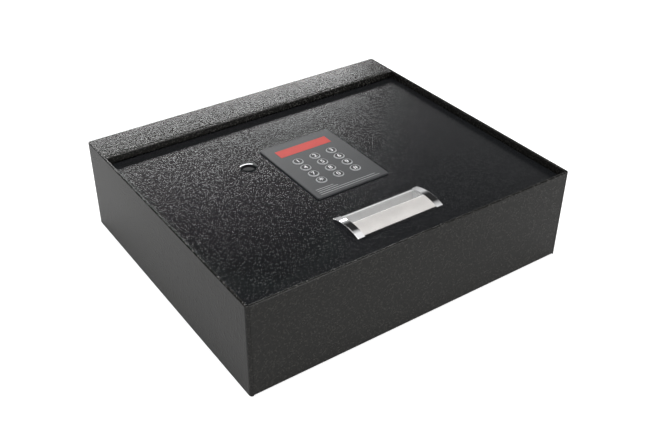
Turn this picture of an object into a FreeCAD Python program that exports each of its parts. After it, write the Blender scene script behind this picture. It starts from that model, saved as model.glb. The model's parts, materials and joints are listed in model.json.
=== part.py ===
"""A flat gun safe with a lid on top, as a parametric assembly.

The origin is at the middle of the underside, +X runs along the width, -Y is the front and +Z is up.
All lengths are in millimetres. Every size and place is an expression on the sheet of dimensions.
"""

import FreeCAD, Part
import math
import os
import re

import Sketcher

DIMENSIONS = {
    # the box and its sheets
    "box_width": 400,
    "box_depth": 350,
    "box_height": 108,
    "skin": 1.5,
    "rim": 3,
    "hem_drop": 12,
    "corner_radius": 3.5,
    "tray_bend": 2,
    "side_flange": 14,
    "seam_chamfer": 0.4,
    "edge_round": 1,
    "anchor_across": 240,
    "anchor_along": 200,
    "anchor_bore": 9,
    # the fixed strip at the back
    "strip_depth": 46.5,
    "rail_flange": 20,
    "seam_gap": 0.4,
    "cover_drop": 12,
    # the lid
    "lid_recess": 8,
    "lid_plate": 4,
    "lid_gap": 1,
    "lid_back_gap": 1.5,
    "lid_corner": 2.5,
    "lid_round": 0.8,
    # the hinge
    "hinge_setback": 12.5,
    "hinge_drop": 6,
    "hinge_rod": 6,
    "running_gap": 0.1,
    "arm_place": 150,
    "arm_thick": 4,
    "arm_boss": 5.5,
    "arm_height": 27,
    "arm_foot": 24,
    "lug_space": 2,
    "lug_thick": 5,
    "lug_boss": 5.8,
    "lug_pad": 20,
    "pad_thick": 2.5,
    "rod_overhang": 4,
    "clip_radius": 4.6,
    "clip_thick": 1,
    "spring_wire": 1.4,
    "spring_pitch": 2.4,
    "spring_turns": 4.25,
    "spring_leg": 22,
    "spring_hook": 18.5,
    "spring_bend": 1.4,
    # the strike behind the front wall
    "strike_reach": 13.5,
    "strike_drop": 26,
    "strike_end_gap": 8,
    "bumper_height": 3,
    "bumper_radius": 4.5,
    "bumper_inner": 45,
    "bumper_outer": 150,
    # the keypad; a setback runs back from the front of the box, or of the fascia for what lies in it
    "keypad_width": 92,
    "keypad_depth": 118.5,
    "keypad_setback": 115,
    "keypad_proud": 1.5,
    "keypad_sink": 1.5,
    "keypad_corner": 2.5,
    "keypad_margin": 3,
    "fit_gap": 0.3,
    "window_width": 67,
    "window_depth": 14.5,
    "window_setback": 98,
    "window_flange": 2,
    "key_radius": 6.1,
    "key_pitch_across": 22.2,
    "key_pitch_along": 15.2,
    "first_row_setback": 74.5,
    "key_proud": 0.5,
    "key_travel": 0.6,
    "key_flange": 1.2,
    "key_bevel": 0.6,
    "board_drop": 6.5,
    "board_thick": 1.6,
    "chip_place": 28,
    "chip_setback": 60,
    "chip_side": 12,
    "socket_place": 16,
    "socket_setback": 90,
    "socket_width": 14,
    "socket_depth": 7,
    "housing_wall": 1.5,
    "housing_depth": 12.5,
    "mat_thick": 1.2,
    # the plug and the emergency lock
    "lock_across": 72,
    "lock_setback": 212.5,
    "plug_radius": 9.2,
    "plug_dome": 2.6,
    "plug_edge": 0.8,
    "plug_stem": 7,
    "plug_stem_drop": 3.6,
    "lock_hole": 7.5,
    "lock_barrel": 10,
    "lock_flange": 14.5,
    "lock_flange_thick": 3,
    "lock_length": 20,
    "core_radius": 6,
    "keyway_depth": 7,
    "cam_crank": 8.4853,
    "cam_pin": 2.5,
    "cam_thick": 2.5,
    "cam_turn": 90,
    # the handle
    "handle_width": 108,
    "handle_depth": 42.5,
    "handle_setback": 77.5,
    "handle_strip": 8.5,
    "handle_bar": 2,
    "handle_edge": 1,
    "handle_rise": 3.8,
    "hood_thick": 1.4,
    "hood_lip": 1.4,
    "cup_wall": 1.2,
    "cup_depth": 16,
    "cup_bend": 4,
    "stud_radius": 2,
    "nut_across": 7,
    "nut_thick": 3.2,
    # the mechanism cover
    "case_half": 118,
    "case_setback": 25,
    "case_length": 226,
    "case_depth": 30,
    "case_wall": 1.2,
    "case_flange": 10,
    "case_corner": 10,
    "case_edge": 3,
    "screw_radius": 2,
    "screw_head": 3.8,
    "screw_head_thick": 2.2,
    # the bolt work; a drop is measured down from the lid's underside
    "bolt_radius": 8,
    "bolt_place": 95,
    "bolt_drop": 14,
    "bolt_tip_gap": 2,
    "bolt_throw": 12,
    "bolt_length": 72,
    "bolt_bevel": 1.5,
    "strike_bore_gap": 0.75,
    "guide_width": 26,
    "guide_depth": 20,
    "carrier_thick": 3,
    "carrier_drop": 26.8,
    "carrier_half": 106,
    "carrier_bar": 16,
    "carrier_arm": 36,
    "post_radius": 2.5,
    "post_shoulder": 4,
    "post_head": 5,
    "slot_gap": 0.3,
    "cam_slot_gap": 0.45,
    # rack, pinion and motor
    "gear_module": 1,
    "pinion_teeth": 12,
    "pinion_width": 8,
    "pinion_place": 14,
    "pinion_setback": 109,
    "rack_addendum": 0.7,
    "rack_backlash": 0.25,
    "rack_rise": 2.5,
    "rack_width": 6,
    "shaft_radius": 1.5,
    "motor_gap": 1,
    "gearbox_length": 9,
    "motor_length": 15,
    "motor_side": 12,
    "motor_flat": 10,
    # batteries
    "battery_left": 52,
    "battery_setback": 170,
    "cell_radius": 7.1,
    "cell_length": 50.5,
    "cell_pitch": 15,
    "holder_wall": 1.5,
    "door_thick": 1.5,
    "door_gap": 0.25,
    "door_overlap": 4,
    "rail_thick": 1.2,
    # the mat
    "mat_height": 3,
    "mat_gap": 2,
}

doc = FreeCAD.newDocument("GunSafe")
sheet = doc.addObject("Spreadsheet::Sheet", "Sizes")
nodes = {}


def fill_sheet():
    """Write every driving dimension to the sheet, with its alias."""
    for row, (name, number) in enumerate(DIMENSIONS.items(), start=1):
        sheet.set(f"A{row}", name)
        sheet.set(f"B{row}", str(number))
        sheet.setAlias(f"B{row}", name)
    doc.recompute()


def bound(text):
    """An expression with the sheet's name before each alias."""
    return re.sub(
        r"[a-z][a-z_]+", lambda word: f"Sizes.{word[0]}" if word[0] in DIMENSIONS else word[0], text
    )


def value(text):
    """What an expression on the sheet comes to."""
    return float(sheet.evalExpression(bound(text)))


fill_sheet()

# Places that several pieces share.
HALF_WIDTH = "(box_width / 2)"
HALF_DEPTH = "(box_depth / 2)"
INNER_SIDE = f"({HALF_WIDTH} - skin)"
PANEL_EDGE = f"({HALF_WIDTH} - corner_radius)"
LID_TOP = "(box_height - lid_recess)"
LID_UNDER = "(box_height - lid_recess - lid_plate)"
LID_HALF = f"({HALF_WIDTH} - rim - lid_gap)"
LID_FRONT = f"(-{HALF_DEPTH} + rim + lid_gap)"
RAIL_FRONT = f"({HALF_DEPTH} - strip_depth)"
LID_BACK = f"({RAIL_FRONT} - lid_back_gap)"
HINGE_Y = f"({RAIL_FRONT} - hinge_setback)"
HINGE_Z = f"({LID_UNDER} - hinge_drop)"
STRIKE_Y = f"(-{HALF_DEPTH} + skin + strike_reach)"
SPRING_RADIUS = f"({LID_UNDER} - {HINGE_Z} - fit_gap - spring_wire / 2)"
SPRING_START = "(arm_place + arm_thick / 2 + clip_thick + spring_wire / 2 + 1)"
BOLT_TIP = f"({STRIKE_Y} + bolt_tip_gap)"
CARRIER_Y = f"({BOLT_TIP} + bolt_length)"
CARRIER_FLOOR = f"({LID_UNDER} - carrier_drop)"
CARRIER_TOP = f"({CARRIER_FLOOR} + carrier_thick)"
BOLT_Z = f"({LID_UNDER} - bolt_drop)"
STRIKE_BOTTOM = f"({LID_UNDER} - strike_drop)"
CASE_FRONT = f"({HALF_DEPTH} - case_setback)"
CASE_BACK = f"(case_length - {CASE_FRONT})"
CASE_BOTTOM = f"({LID_UNDER} - case_depth)"
KEYPAD_FRONT = f"({HALF_DEPTH} - keypad_setback)"
WINDOW_Y = f"(window_setback - {KEYPAD_FRONT})"
FIRST_ROW_Y = f"(first_row_setback - {KEYPAD_FRONT})"
FASCIA_TOP = f"({LID_TOP} + keypad_proud)"
FASCIA_UNDER = f"({LID_TOP} - keypad_sink)"
BOARD_TOP = f"({LID_UNDER} - board_drop + board_thick)"
PITCH_RADIUS = "(gear_module * pinion_teeth / 2)"
RACK_PITCH = f"({CARRIER_TOP} + rack_rise + gear_module * 1.25)"
PINION_AXIS = f"({RACK_PITCH} + {PITCH_RADIUS})"
PINION_Y = f"(pinion_setback - {HALF_DEPTH})"
HANDLE_BACK = f"({HALF_DEPTH} - handle_setback)"
HANDLE_Y = f"(-{HANDLE_BACK} - handle_depth / 2)"
ARCH_RADIUS = "((handle_depth ^ 2 / 4 + handle_rise ^ 2) / (2 * handle_rise))"
ARCH_CENTRE = f"({LID_TOP} + handle_edge + handle_rise - {ARCH_RADIUS})"
HANDLE_INNER = "(handle_width / 2 - handle_strip)"
LOCK_Y = f"(lock_setback - {HALF_DEPTH})"
LOCK_FACE = f"({LID_UNDER})"
CORE_BOTTOM = f"({LID_UNDER} - lock_length)"
CELLS_UNDER = f"({CASE_BOTTOM} + case_wall + 2)"
BATTERY_RIGHT = "(battery_left + 4 * cell_pitch)"
BATTERY_FRONT = f"(battery_setback - {HALF_DEPTH})"
BATTERY_BACK = f"({BATTERY_FRONT} + cell_length + 7)"

LETTERS = "xyz"
TURN = {
    "x": FreeCAD.Rotation(FreeCAD.Vector(0, 1, 0), 90),
    "y": FreeCAD.Rotation(FreeCAD.Vector(1, 0, 0), -90),
    "z": FreeCAD.Rotation(),
}


def keep(node, made):
    """Name a finished object after its node."""
    made.Label = node
    nodes[node] = made
    return made


def block(name, x, y, z):
    """A box between a low and a high limit on each axis."""
    made = doc.addObject("Part::Box", name)
    for size, letter, (low, high) in zip(("Length", "Width", "Height"), LETTERS, (x, y, z)):
        made.setExpression(size, bound(f"({high}) - ({low})"))
        made.setExpression(f"Placement.Base.{letter}", bound(low))
    return made


def bar(name, axis, centre, radius, span):
    """A round bar along an axis; centre holds the two other coordinates."""
    made = doc.addObject("Part::Cylinder", name)
    made.Placement = FreeCAD.Placement(FreeCAD.Vector(), TURN[axis])
    made.setExpression("Radius", bound(radius))
    made.setExpression("Height", bound(f"({span[1]}) - ({span[0]})"))
    others = [letter for letter in LETTERS if letter != axis]
    for letter, text in zip(others, centre):
        made.setExpression(f"Placement.Base.{letter}", bound(text))
    made.setExpression(f"Placement.Base.{axis}", bound(span[0]))
    return made


def cone(name, centre, low_radius, high_radius, span):
    """An upright cone frustum."""
    made = doc.addObject("Part::Cone", name)
    made.setExpression("Radius1", bound(low_radius))
    made.setExpression("Radius2", bound(high_radius))
    made.setExpression("Height", bound(f"({span[1]}) - ({span[0]})"))
    for letter, text in zip(LETTERS, (*centre, span[0])):
        made.setExpression(f"Placement.Base.{letter}", bound(text))
    return made


def hexagon(name, centre, across, span):
    """An upright hexagonal nut blank, by its width across flats."""
    made = doc.addObject("Part::Prism", name)
    made.Polygon = 6
    made.setExpression("Circumradius", bound(f"({across}) / sqrt(3)"))
    made.setExpression("Height", bound(f"({span[1]}) - ({span[0]})"))
    for letter, text in zip(LETTERS, (*centre, span[0])):
        made.setExpression(f"Placement.Base.{letter}", bound(text))
    return made


def fused(name, *pieces):
    """Pieces joined to one solid."""
    made = doc.addObject("Part::MultiFuse", name)
    made.Shapes = list(pieces)
    made.Refine = True
    return made


def shared(name, *pieces):
    """What the pieces have in common."""
    made = doc.addObject("Part::MultiCommon", name)
    made.Shapes = list(pieces)
    return made


def carved(name, base, *tools):
    """The base without the tools."""
    made = doc.addObject("Part::Cut", name)
    made.Base = base
    made.Tool = tools[0] if len(tools) == 1 else group(f"{name}_tools", *tools)
    made.Refine = True
    return made


def group(name, *pieces):
    """Separate solids held as one object."""
    made = doc.addObject("Part::Compound", name)
    made.Links = list(pieces)
    return made


def mirrored(name, source, normal=(1, 0, 0)):
    """The source's mirror image in a plane through the origin."""
    made = doc.addObject("Part::Mirroring", name)
    made.Source = source
    made.Normal = normal
    return made


def rounded(name, base, radius, wanted, kind="Part::Fillet"):
    """The base with the wanted edges rounded or bevelled."""
    doc.recompute()
    made = doc.addObject(kind, name)
    made.Base = base
    size = value(radius)
    made.Edges = [(number, size, size) for number, edge in enumerate(base.Shape.Edges, 1) if wanted(edge)]
    return made


def middle(edge):
    """The middle of an edge's box."""
    return edge.BoundBox.Center


def runs_along(edge, axis):
    """Whether an edge is straight and parallel to an axis."""
    spans = (edge.BoundBox.XLength, edge.BoundBox.YLength, edge.BoundBox.ZLength)
    return all((span > 1e-4) == (letter == axis) for letter, span in zip(LETTERS, spans))


def lies_at(edge, axis, text):
    """Whether a whole edge lies at one height along an axis."""
    place = value(text)
    low = getattr(edge.BoundBox, f"{axis.upper()}Min")
    high = getattr(edge.BoundBox, f"{axis.upper()}Max")
    return abs(low - place) < 1e-3 and abs(high - place) < 1e-3


def body(name):
    """An empty PartDesign body."""
    return doc.addObject("PartDesign::Body", name)


def sketch(owner, name, plane, offset="0"):
    """A sketch on one of the body's own origin planes, moved along its normal."""
    drawn = owner.newObject("Sketcher::SketchObject", name)
    support = next(feature for feature in owner.Origin.OriginFeatures if feature.Role == plane)
    drawn.AttachmentSupport = [(support, "")]
    drawn.MapMode = "FlatFace"
    drawn.setExpression("AttachmentOffset.Base.z", bound(offset))
    return drawn


def pin_down(drawn, geometry, point, u, v):
    """Tie one point of a sketch to two expressions."""
    for kind, text in (("DistanceX", u), ("DistanceY", v)):
        number = drawn.addConstraint(Sketcher.Constraint(kind, -1, 1, geometry, point, value(text)))
        drawn.setExpression(f"Constraints[{number}]", bound(text))


def polygon(drawn, corners):
    """A closed outline of straight lines, each corner tied to the sheet."""
    first = drawn.GeometryCount
    count = len(corners)
    places = [FreeCAD.Vector(value(u), value(v), 0) for u, v in corners]
    for number in range(count):
        drawn.addGeometry(Part.LineSegment(places[number], places[(number + 1) % count]))
    for number in range(count):
        after = first + (number + 1) % count
        drawn.addConstraint(Sketcher.Constraint("Coincident", first + number, 2, after, 1))
    for number, (u, v) in enumerate(corners):
        pin_down(drawn, first + number, 1, u, v)


def rectangle(drawn, u, v):
    """A rectangle between two limits each way."""
    polygon(drawn, [(u[0], v[0]), (u[1], v[0]), (u[1], v[1]), (u[0], v[1])])


def circle(drawn, u, v, radius):
    """A circle, tied to the sheet at its centre and in its radius."""
    number = drawn.addGeometry(
        Part.Circle(FreeCAD.Vector(value(u), value(v), 0), FreeCAD.Vector(0, 0, 1), value(radius))
    )
    pin_down(drawn, number, 3, u, v)
    tie = drawn.addConstraint(Sketcher.Constraint("Radius", number, value(radius)))
    drawn.setExpression(f"Constraints[{tie}]", bound(radius))


def pad(owner, drawn, length):
    """Material along the sketch's normal."""
    made = owner.newObject("PartDesign::Pad", f"{drawn.Name}_pad")
    made.Profile = drawn
    made.setExpression("Length", bound(length))
    return made


def pocket(owner, drawn, length, upwards=False):
    """A cut against the sketch's normal, or along it; it has to take material away."""
    doc.recompute()
    before = owner.Shape.Volume
    made = owner.newObject("PartDesign::Pocket", f"{drawn.Name}_pocket")
    made.Profile = drawn
    made.Reversed = upwards
    made.setExpression("Length", bound(length))
    doc.recompute()
    if owner.Shape.Volume > before - 1e-3:
        raise ValueError(f"{drawn.Name} cuts nothing")
    return made


def softened(owner, radius, wanted, kind="Fillet"):
    """Rounds or bevels the wanted edges of the body's tip."""
    doc.recompute()
    base = owner.Tip
    made = owner.newObject(f"PartDesign::{kind}", f"{base.Name}_{kind.lower()}")
    made.Base = (base, [f"Edge{n}" for n, edge in enumerate(base.Shape.Edges, 1) if wanted(edge)])
    made.setExpression("Radius" if kind == "Fillet" else "Size", bound(radius))
    return made


def at(edge, x=None, y=None, z=None):
    """Whether the middle of an edge lies at the given coordinates."""
    found = middle(edge)
    wanted = zip((found.x, found.y, found.z), (x, y, z))
    return all(text is None or abs(place - value(text)) < 1e-3 for place, text in wanted)


# The box.


def base_tray():
    """Front wall, floor and back wall, folded from one sheet, with a hemmed front edge."""
    made = body("base_tray_body")
    profile = sketch(made, "tray_profile", "YZ_Plane", f"-{PANEL_EDGE}")
    front, back = f"-{HALF_DEPTH}", HALF_DEPTH
    back_top = "box_height - cover_drop - seam_gap"
    polygon(
        profile,
        [
            (front, "0"),
            (back, "0"),
            (back, back_top),
            (f"{back} - skin", back_top),
            (f"{back} - skin", "skin"),
            (f"{front} + skin", "skin"),
            (f"{front} + skin", "box_height - hem_drop"),
            (f"{front} + rim", "box_height - hem_drop"),
            (f"{front} + rim", "box_height"),
            (front, "box_height"),
        ],
    )
    pad(made, profile, f"2 * {PANEL_EDGE}")
    softened(
        made, "tray_bend", lambda e: runs_along(e, "x") and (at(e, y=front, z="0") or at(e, y=back, z="0"))
    )
    softened(
        made,
        "edge_round",
        lambda e: runs_along(e, "x") and (
            at(e, y=front, z="box_height") or at(e, y=f"{front} + rim", z="box_height")
        ),
    )
    softened(made, "seam_chamfer", lambda e: runs_along(e, "z") and at(e, y=front), "Chamfer")
    holes = sketch(made, "anchor_holes", "XY_Plane")
    for across in ("-anchor_across / 2", "anchor_across / 2"):
        for along in ("-anchor_along / 2", "anchor_along / 2"):
            circle(holes, across, along, "anchor_bore / 2")
    pocket(made, holes, "skin + 1", upwards=True)
    inset = f"({HALF_DEPTH} - corner_radius - tray_bend - 3)"
    pieces = [made]
    for side, sign in (("left", "-"), ("right", "")):
        edges = (PANEL_EDGE, INNER_SIDE) if sign == "" else (f"-{INNER_SIDE}", f"-{PANEL_EDGE}")
        wall = (f"{INNER_SIDE} - skin", INNER_SIDE) if sign == "" else (
            f"-{INNER_SIDE}", f"-{INNER_SIDE} + skin"
        )
        pieces.append(block(f"tray_{side}_ledge", edges, (f"-{inset}", inset), ("0", "skin")))
        pieces.append(block(f"tray_{side}_flange", wall, (f"-{inset}", inset), ("0", "side_flange")))
    keep("base_tray", fused("base_tray_whole", *pieces))


def side_panels():
    """Side walls that turn the upright corners, with a hemmed top edge as far back as the rail."""
    outer = block(
        "panel_outer",
        (f"-{HALF_WIDTH}", f"-{PANEL_EDGE}"),
        (f"-{HALF_DEPTH}", HALF_DEPTH),
        ("0", "box_height"),
    )
    inner = block(
        "panel_hollow",
        (f"-{INNER_SIDE}", f"-{PANEL_EDGE} + 1"),
        (f"-{HALF_DEPTH} + skin", f"{HALF_DEPTH} - skin"),
        ("-1", "box_height + 1"),
    )
    channel = carved("panel_channel", outer, inner)
    corners = rounded(
        "panel_corners",
        channel,
        "corner_radius - 0.01",
        lambda e: runs_along(e, "z") and at(e, x=f"-{HALF_WIDTH}"),
    )
    bends = rounded(
        "panel_bends",
        corners,
        "corner_radius - skin - 0.01",
        lambda e: runs_along(e, "z") and (at(e, x=f"-{INNER_SIDE}")),
    )
    hem = block(
        "panel_hem",
        (f"-{HALF_WIDTH} + skin / 2", f"-{HALF_WIDTH} + rim"),
        (f"-{HALF_DEPTH} + corner_radius", f"{RAIL_FRONT} + rim"),
        ("box_height - hem_drop", "box_height"),
    )
    notch = block(
        "panel_notch",
        (f"-{HALF_WIDTH} - 1", f"-{PANEL_EDGE} + 1"),
        (f"{RAIL_FRONT} + rim", f"{HALF_DEPTH} + 1"),
        ("box_height - skin", "box_height + 1"),
    )
    wall = carved("panel_wall", fused("panel_hemmed", bends, hem), notch)
    left = rounded(
        "side_panel_left_edges",
        wall,
        "edge_round",
        lambda e: lies_at(e, "z", "box_height")
        and (at(e, x=f"-{HALF_WIDTH}") or at(e, x=f"-{HALF_WIDTH} + rim") and runs_along(e, "y")),
    )
    keep("side_panel_left", left)
    keep("side_panel_right", mirrored("side_panel_right_copy", left))


def rear_rail():
    """The cross rail behind the lid: a hemmed lip with a flange that carries the rear cover."""
    made = body("rear_rail_body")
    half = f"({HALF_WIDTH} - rim)"
    profile = sketch(made, "rail_profile", "YZ_Plane", f"-{half}")
    seat = "box_height - skin"
    polygon(
        profile,
        [
            (RAIL_FRONT, LID_TOP),
            (f"{RAIL_FRONT} + skin", LID_TOP),
            (f"{RAIL_FRONT} + skin", f"{seat} - skin"),
            (f"{RAIL_FRONT} + rail_flange", f"{seat} - skin"),
            (f"{RAIL_FRONT} + rail_flange", seat),
            (f"{RAIL_FRONT} + rim", seat),
            (f"{RAIL_FRONT} + rim", "box_height"),
            (RAIL_FRONT, "box_height"),
        ],
    )
    pad(made, profile, f"2 * {half}")
    softened(
        made,
        "edge_round",
        lambda e: runs_along(e, "x") and (at(e, y=RAIL_FRONT, z="box_height")),
    )
    softened(
        made,
        "edge_round / 2",
        lambda e: runs_along(e, "x") and at(e, y=f"{RAIL_FRONT} + rim", z="box_height"),
    )
    keep("rear_rail", made)


def rear_cover():
    """The strip along the back, with a flange that closes the top of the back wall."""
    made = body("rear_cover_body")
    plan = sketch(made, "cover_plan", "XY_Plane", "box_height - skin")
    rectangle(plan, (f"-{HALF_WIDTH}", HALF_WIDTH), (f"{RAIL_FRONT} + rim + seam_gap", HALF_DEPTH))
    pad(made, plan, "skin")
    softened(made, "corner_radius", lambda e: runs_along(e, "z") and at(e, y=HALF_DEPTH))
    softened(made, "edge_round", lambda e: lies_at(e, "z", "box_height") and not at(e, x="0", y=HALF_DEPTH))
    skirt = sketch(made, "cover_skirt", "XY_Plane", "box_height - cover_drop")
    rectangle(
        skirt, (f"-{PANEL_EDGE} + seam_gap", f"{PANEL_EDGE} - seam_gap"), (f"{HALF_DEPTH} - skin", HALF_DEPTH)
    )
    pad(made, skirt, "cover_drop - skin / 2")
    keep("rear_cover", made)


def strike_channel():
    """The folded channel behind the front wall that takes the bolts and carries the lid's bumpers."""
    made = body("strike_body")
    half = f"({HALF_WIDTH} - strike_end_gap)"
    profile = sketch(made, "strike_profile", "YZ_Plane", f"-{half}")
    wall, web = f"(-{HALF_DEPTH} + skin)", STRIKE_Y
    top = f"({LID_UNDER} - bumper_height)"
    polygon(
        profile,
        [
            (wall, top),
            (wall, f"{top} - skin"),
            (f"{web} - skin", f"{top} - skin"),
            (f"{web} - skin", f"{STRIKE_BOTTOM} + skin"),
            (wall, f"{STRIKE_BOTTOM} + skin"),
            (wall, STRIKE_BOTTOM),
            (web, STRIKE_BOTTOM),
            (web, top),
        ],
    )
    pad(made, profile, f"2 * {half}")
    softened(made, "tray_bend", lambda e: runs_along(e, "x") and (at(e, y=web)))
    holes = sketch(made, "strike_holes", "XZ_Plane", f"-({web}) + 2")
    reach = "(bolt_radius + strike_bore_gap)"
    for centre in ("-bolt_place", "bolt_place"):
        rectangle(
            holes,
            (f"{centre} - {reach}", f"{centre} + {reach}"),
            (f"{BOLT_Z} - {reach}", f"{BOLT_Z} + {reach}"),
        )
    pocket(made, holes, "skin + 4")
    keep("strike_channel", made)


def lid_bumpers():
    """Four rubber pads on the strike, on which the closed lid rests."""
    seat = f"({LID_UNDER} - bumper_height)"
    along = f"(-{HALF_DEPTH} + skin + strike_reach / 2)"
    pads = []
    for number, place in enumerate(("-bumper_outer", "-bumper_inner", "bumper_inner", "bumper_outer")):
        pads.append(bar(f"bumper_{number}", "z", (place, along), "bumper_radius", (seat, LID_UNDER)))
    keep("lid_bumpers", group("lid_bumpers_set", *pads))


def floor_mat():
    """A foam mat on the floor, open over the anchor holes."""
    made = body("floor_mat_body")
    plan = sketch(made, "mat_plan", "XY_Plane", "skin")
    across = f"({INNER_SIDE} - skin - mat_gap)"
    along = f"({HALF_DEPTH} - skin - mat_gap)"
    rectangle(plan, (f"-{across}", across), (f"-{along}", along))
    for u in ("-anchor_across / 2", "anchor_across / 2"):
        for v in ("-anchor_along / 2", "anchor_along / 2"):
            circle(plan, u, v, "anchor_bore")
    pad(made, plan, "mat_height")
    softened(made, "corner_radius", lambda e: runs_along(e, "z") and abs(middle(e).x) > value(across) - 1)
    keep("floor_mat", made)


# The hinge.


def hinge_arms():
    """Goose-neck arms from the back wall to the hinge rod; the lid's back edge swings clear of them."""
    low = f"({HINGE_Z} - hinge_drop - lid_plate)"
    neck = f"({low} - 6)"
    wall = f"({HALF_DEPTH} - skin)"
    for side, sign in (("left", "-"), ("right", "")):
        made = body(f"hinge_arm_{side}_body")
        start = "arm_place - arm_thick / 2" if sign == "" else "-arm_place - arm_thick / 2"
        profile = sketch(made, f"arm_{side}_profile", "YZ_Plane", start)
        polygon(
            profile,
            [
                (f"{HINGE_Y} - arm_boss", HINGE_Z),
                (f"{HINGE_Y} - arm_boss", f"{neck} - 4"),
                (f"{HINGE_Y} + 2", f"{neck} - 12"),
                (wall, f"{neck} - arm_height"),
                (wall, neck),
                (f"{HINGE_Y} + 14", neck),
                (f"{HINGE_Y} + 2", f"{neck} + 5"),
                (f"{HINGE_Y} + 2", HINGE_Z),
            ],
        )
        pad(made, profile, "arm_thick")
        softened(made, "arm_foot / 4", lambda e: runs_along(e, "x") and at(e, y=f"{HINGE_Y} + 14"))
        foot = block(
            f"arm_{side}_foot",
            (f"{start} - arm_foot / 2 + arm_thick / 2", f"{start} + arm_foot / 2 + arm_thick / 2"),
            (f"{wall} - pad_thick", wall),
            (f"{neck} - arm_height", neck),
        )
        boss = bar(f"arm_{side}_boss", "x", (HINGE_Y, HINGE_Z), "arm_boss", (start, f"{start} + arm_thick"))
        through = (f"{start} - 1", f"{start} + arm_thick + 1")
        bore = bar(f"arm_{side}_bore", "x", (HINGE_Y, HINGE_Z), "hinge_rod / 2", through)
        hook_place = (f"{HINGE_Y} + {SPRING_RADIUS}", f"{HINGE_Z} - spring_hook")
        hook_hole = bar(f"arm_{side}_hook_hole", "x", hook_place, "spring_wire / 2 + fit_gap", through)
        blank = fused(f"arm_{side}_blank", made, foot, boss)
        keep(f"hinge_arm_{side}", carved(f"hinge_arm_{side}_whole", blank, bore, hook_hole))


def hinge_rod():
    """The rod through both arms, on which the lid turns."""
    end = f"({SPRING_START} + spring_pitch * spring_turns + rod_overhang)"
    blank = bar("rod_blank", "x", (HINGE_Y, HINGE_Z), "hinge_rod / 2", (f"-{end}", end))
    keep(
        "hinge_rod",
        rounded(
            "rod_bevel", blank, "hinge_rod / 10", lambda e: abs(middle(e).x) > value(end) - 1, "Part::Chamfer"
        ),
    )


def rod_clips():
    """A clip on the rod outside each arm."""
    clips = []
    for side, sign in (("left", "-"), ("right", "")):
        inner = f"{sign}(arm_place + arm_thick / 2)"
        outer = f"{sign}(arm_place + arm_thick / 2 + clip_thick)"
        span = (inner, outer) if sign == "" else (outer, inner)
        ring = bar(f"clip_{side}_ring", "x", (HINGE_Y, HINGE_Z), "clip_radius", span)
        hole = bar(
            f"clip_{side}_hole",
            "x",
            (HINGE_Y, HINGE_Z),
            "hinge_rod / 2",
            (f"{span[0]} - 1", f"{span[1]} + 1"),
        )
        clips.append(carved(f"clip_{side}", ring, hole))
    keep("rod_clips", group("rod_clips_set", *clips))


def lid_lugs():
    """Lugs under the lid that turn on the rod, just inside the arms."""
    for side, sign in (("left", "-"), ("right", "")):
        near = "(arm_place - arm_thick / 2 - lug_space - lug_thick)"
        start = near if sign == "" else f"-({near} + lug_thick)"
        made = body(f"lid_lug_{side}_body")
        profile = sketch(made, f"lug_{side}_profile", "YZ_Plane", start)
        polygon(
            profile,
            [
                (f"{HINGE_Y} - lug_pad * 0.7", LID_UNDER),
                (f"{HINGE_Y} - lug_boss", HINGE_Z),
                (f"{HINGE_Y} + lug_boss", HINGE_Z),
                (f"{HINGE_Y} + lug_boss + 2", LID_UNDER),
            ],
        )
        pad(made, profile, "lug_thick")
        boss = bar(f"lug_{side}_boss", "x", (HINGE_Y, HINGE_Z), "lug_boss", (start, f"{start} + lug_thick"))
        inward = (f"{near} + lug_thick - lug_pad", f"{near} + lug_thick")
        plate = block(
            f"lug_{side}_pad",
            inward if sign == "" else (f"-({inward[1]})", f"-({inward[0]})"),
            (f"{HINGE_Y} - lug_pad * 1.3", f"{HINGE_Y} + lug_boss + 2"),
            (f"{LID_UNDER} - pad_thick", LID_UNDER),
        )
        hole = bar(
            f"lug_{side}_bore",
            "x",
            (HINGE_Y, HINGE_Z),
            "hinge_rod / 2 + running_gap",
            (f"{start} - 1", f"{start} + lug_thick + 1"),
        )
        keep(
            f"lid_lug_{side}",
            carved(f"lid_lug_{side}_whole", fused(f"lug_{side}_blank", made, boss, plate), hole),
        )


def torsion_springs():
    """Coils round the rod that help the lid up; one leg hooks into the arm and one lies under the lid."""
    radius = SPRING_RADIUS
    start = SPRING_START
    rise = "(spring_pitch * spring_turns)"
    wire = "spring_wire / 2"
    coil = doc.addObject("Part::Helix", "spring_coil")
    coil.SegmentLength = 0.25
    coil.setExpression("Pitch", bound("spring_pitch"))
    coil.setExpression("Height", bound(rise))
    coil.setExpression("Radius", bound(radius))
    quarter = FreeCAD.Rotation(FreeCAD.Vector(0, 0, 1), 90)
    coil.Placement = FreeCAD.Placement(FreeCAD.Vector(), TURN["x"].multiply(quarter))
    section = doc.addObject("Part::Circle", "spring_wire_section")
    section.setExpression("Radius", bound(wire))
    coil_place = (start, HINGE_Y, HINGE_Z)
    wire_place = (start, f"{HINGE_Y} + {radius}", HINGE_Z)
    for letter, coil_text, wire_text in zip(LETTERS, coil_place, wire_place):
        coil.setExpression(f"Placement.Base.{letter}", bound(coil_text))
        section.setExpression(f"Placement.Base.{letter}", bound(wire_text))
    doc.recompute()
    sweep = doc.addObject("Part::Sweep", "spring_sweep")
    sweep.Sections = [section]
    sweep.Spine = (coil, [f"Edge{number}" for number, _ in enumerate(coil.Shape.Edges, 1)])
    sweep.Solid = True
    sweep.Frenet = True
    legs = spring_legs(start, rise, radius, wire)
    right = fused("torsion_spring_whole", sweep, *legs)
    keep("torsion_spring_right", right)
    keep("torsion_spring_left", mirrored("torsion_spring_left_copy", right))


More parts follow.
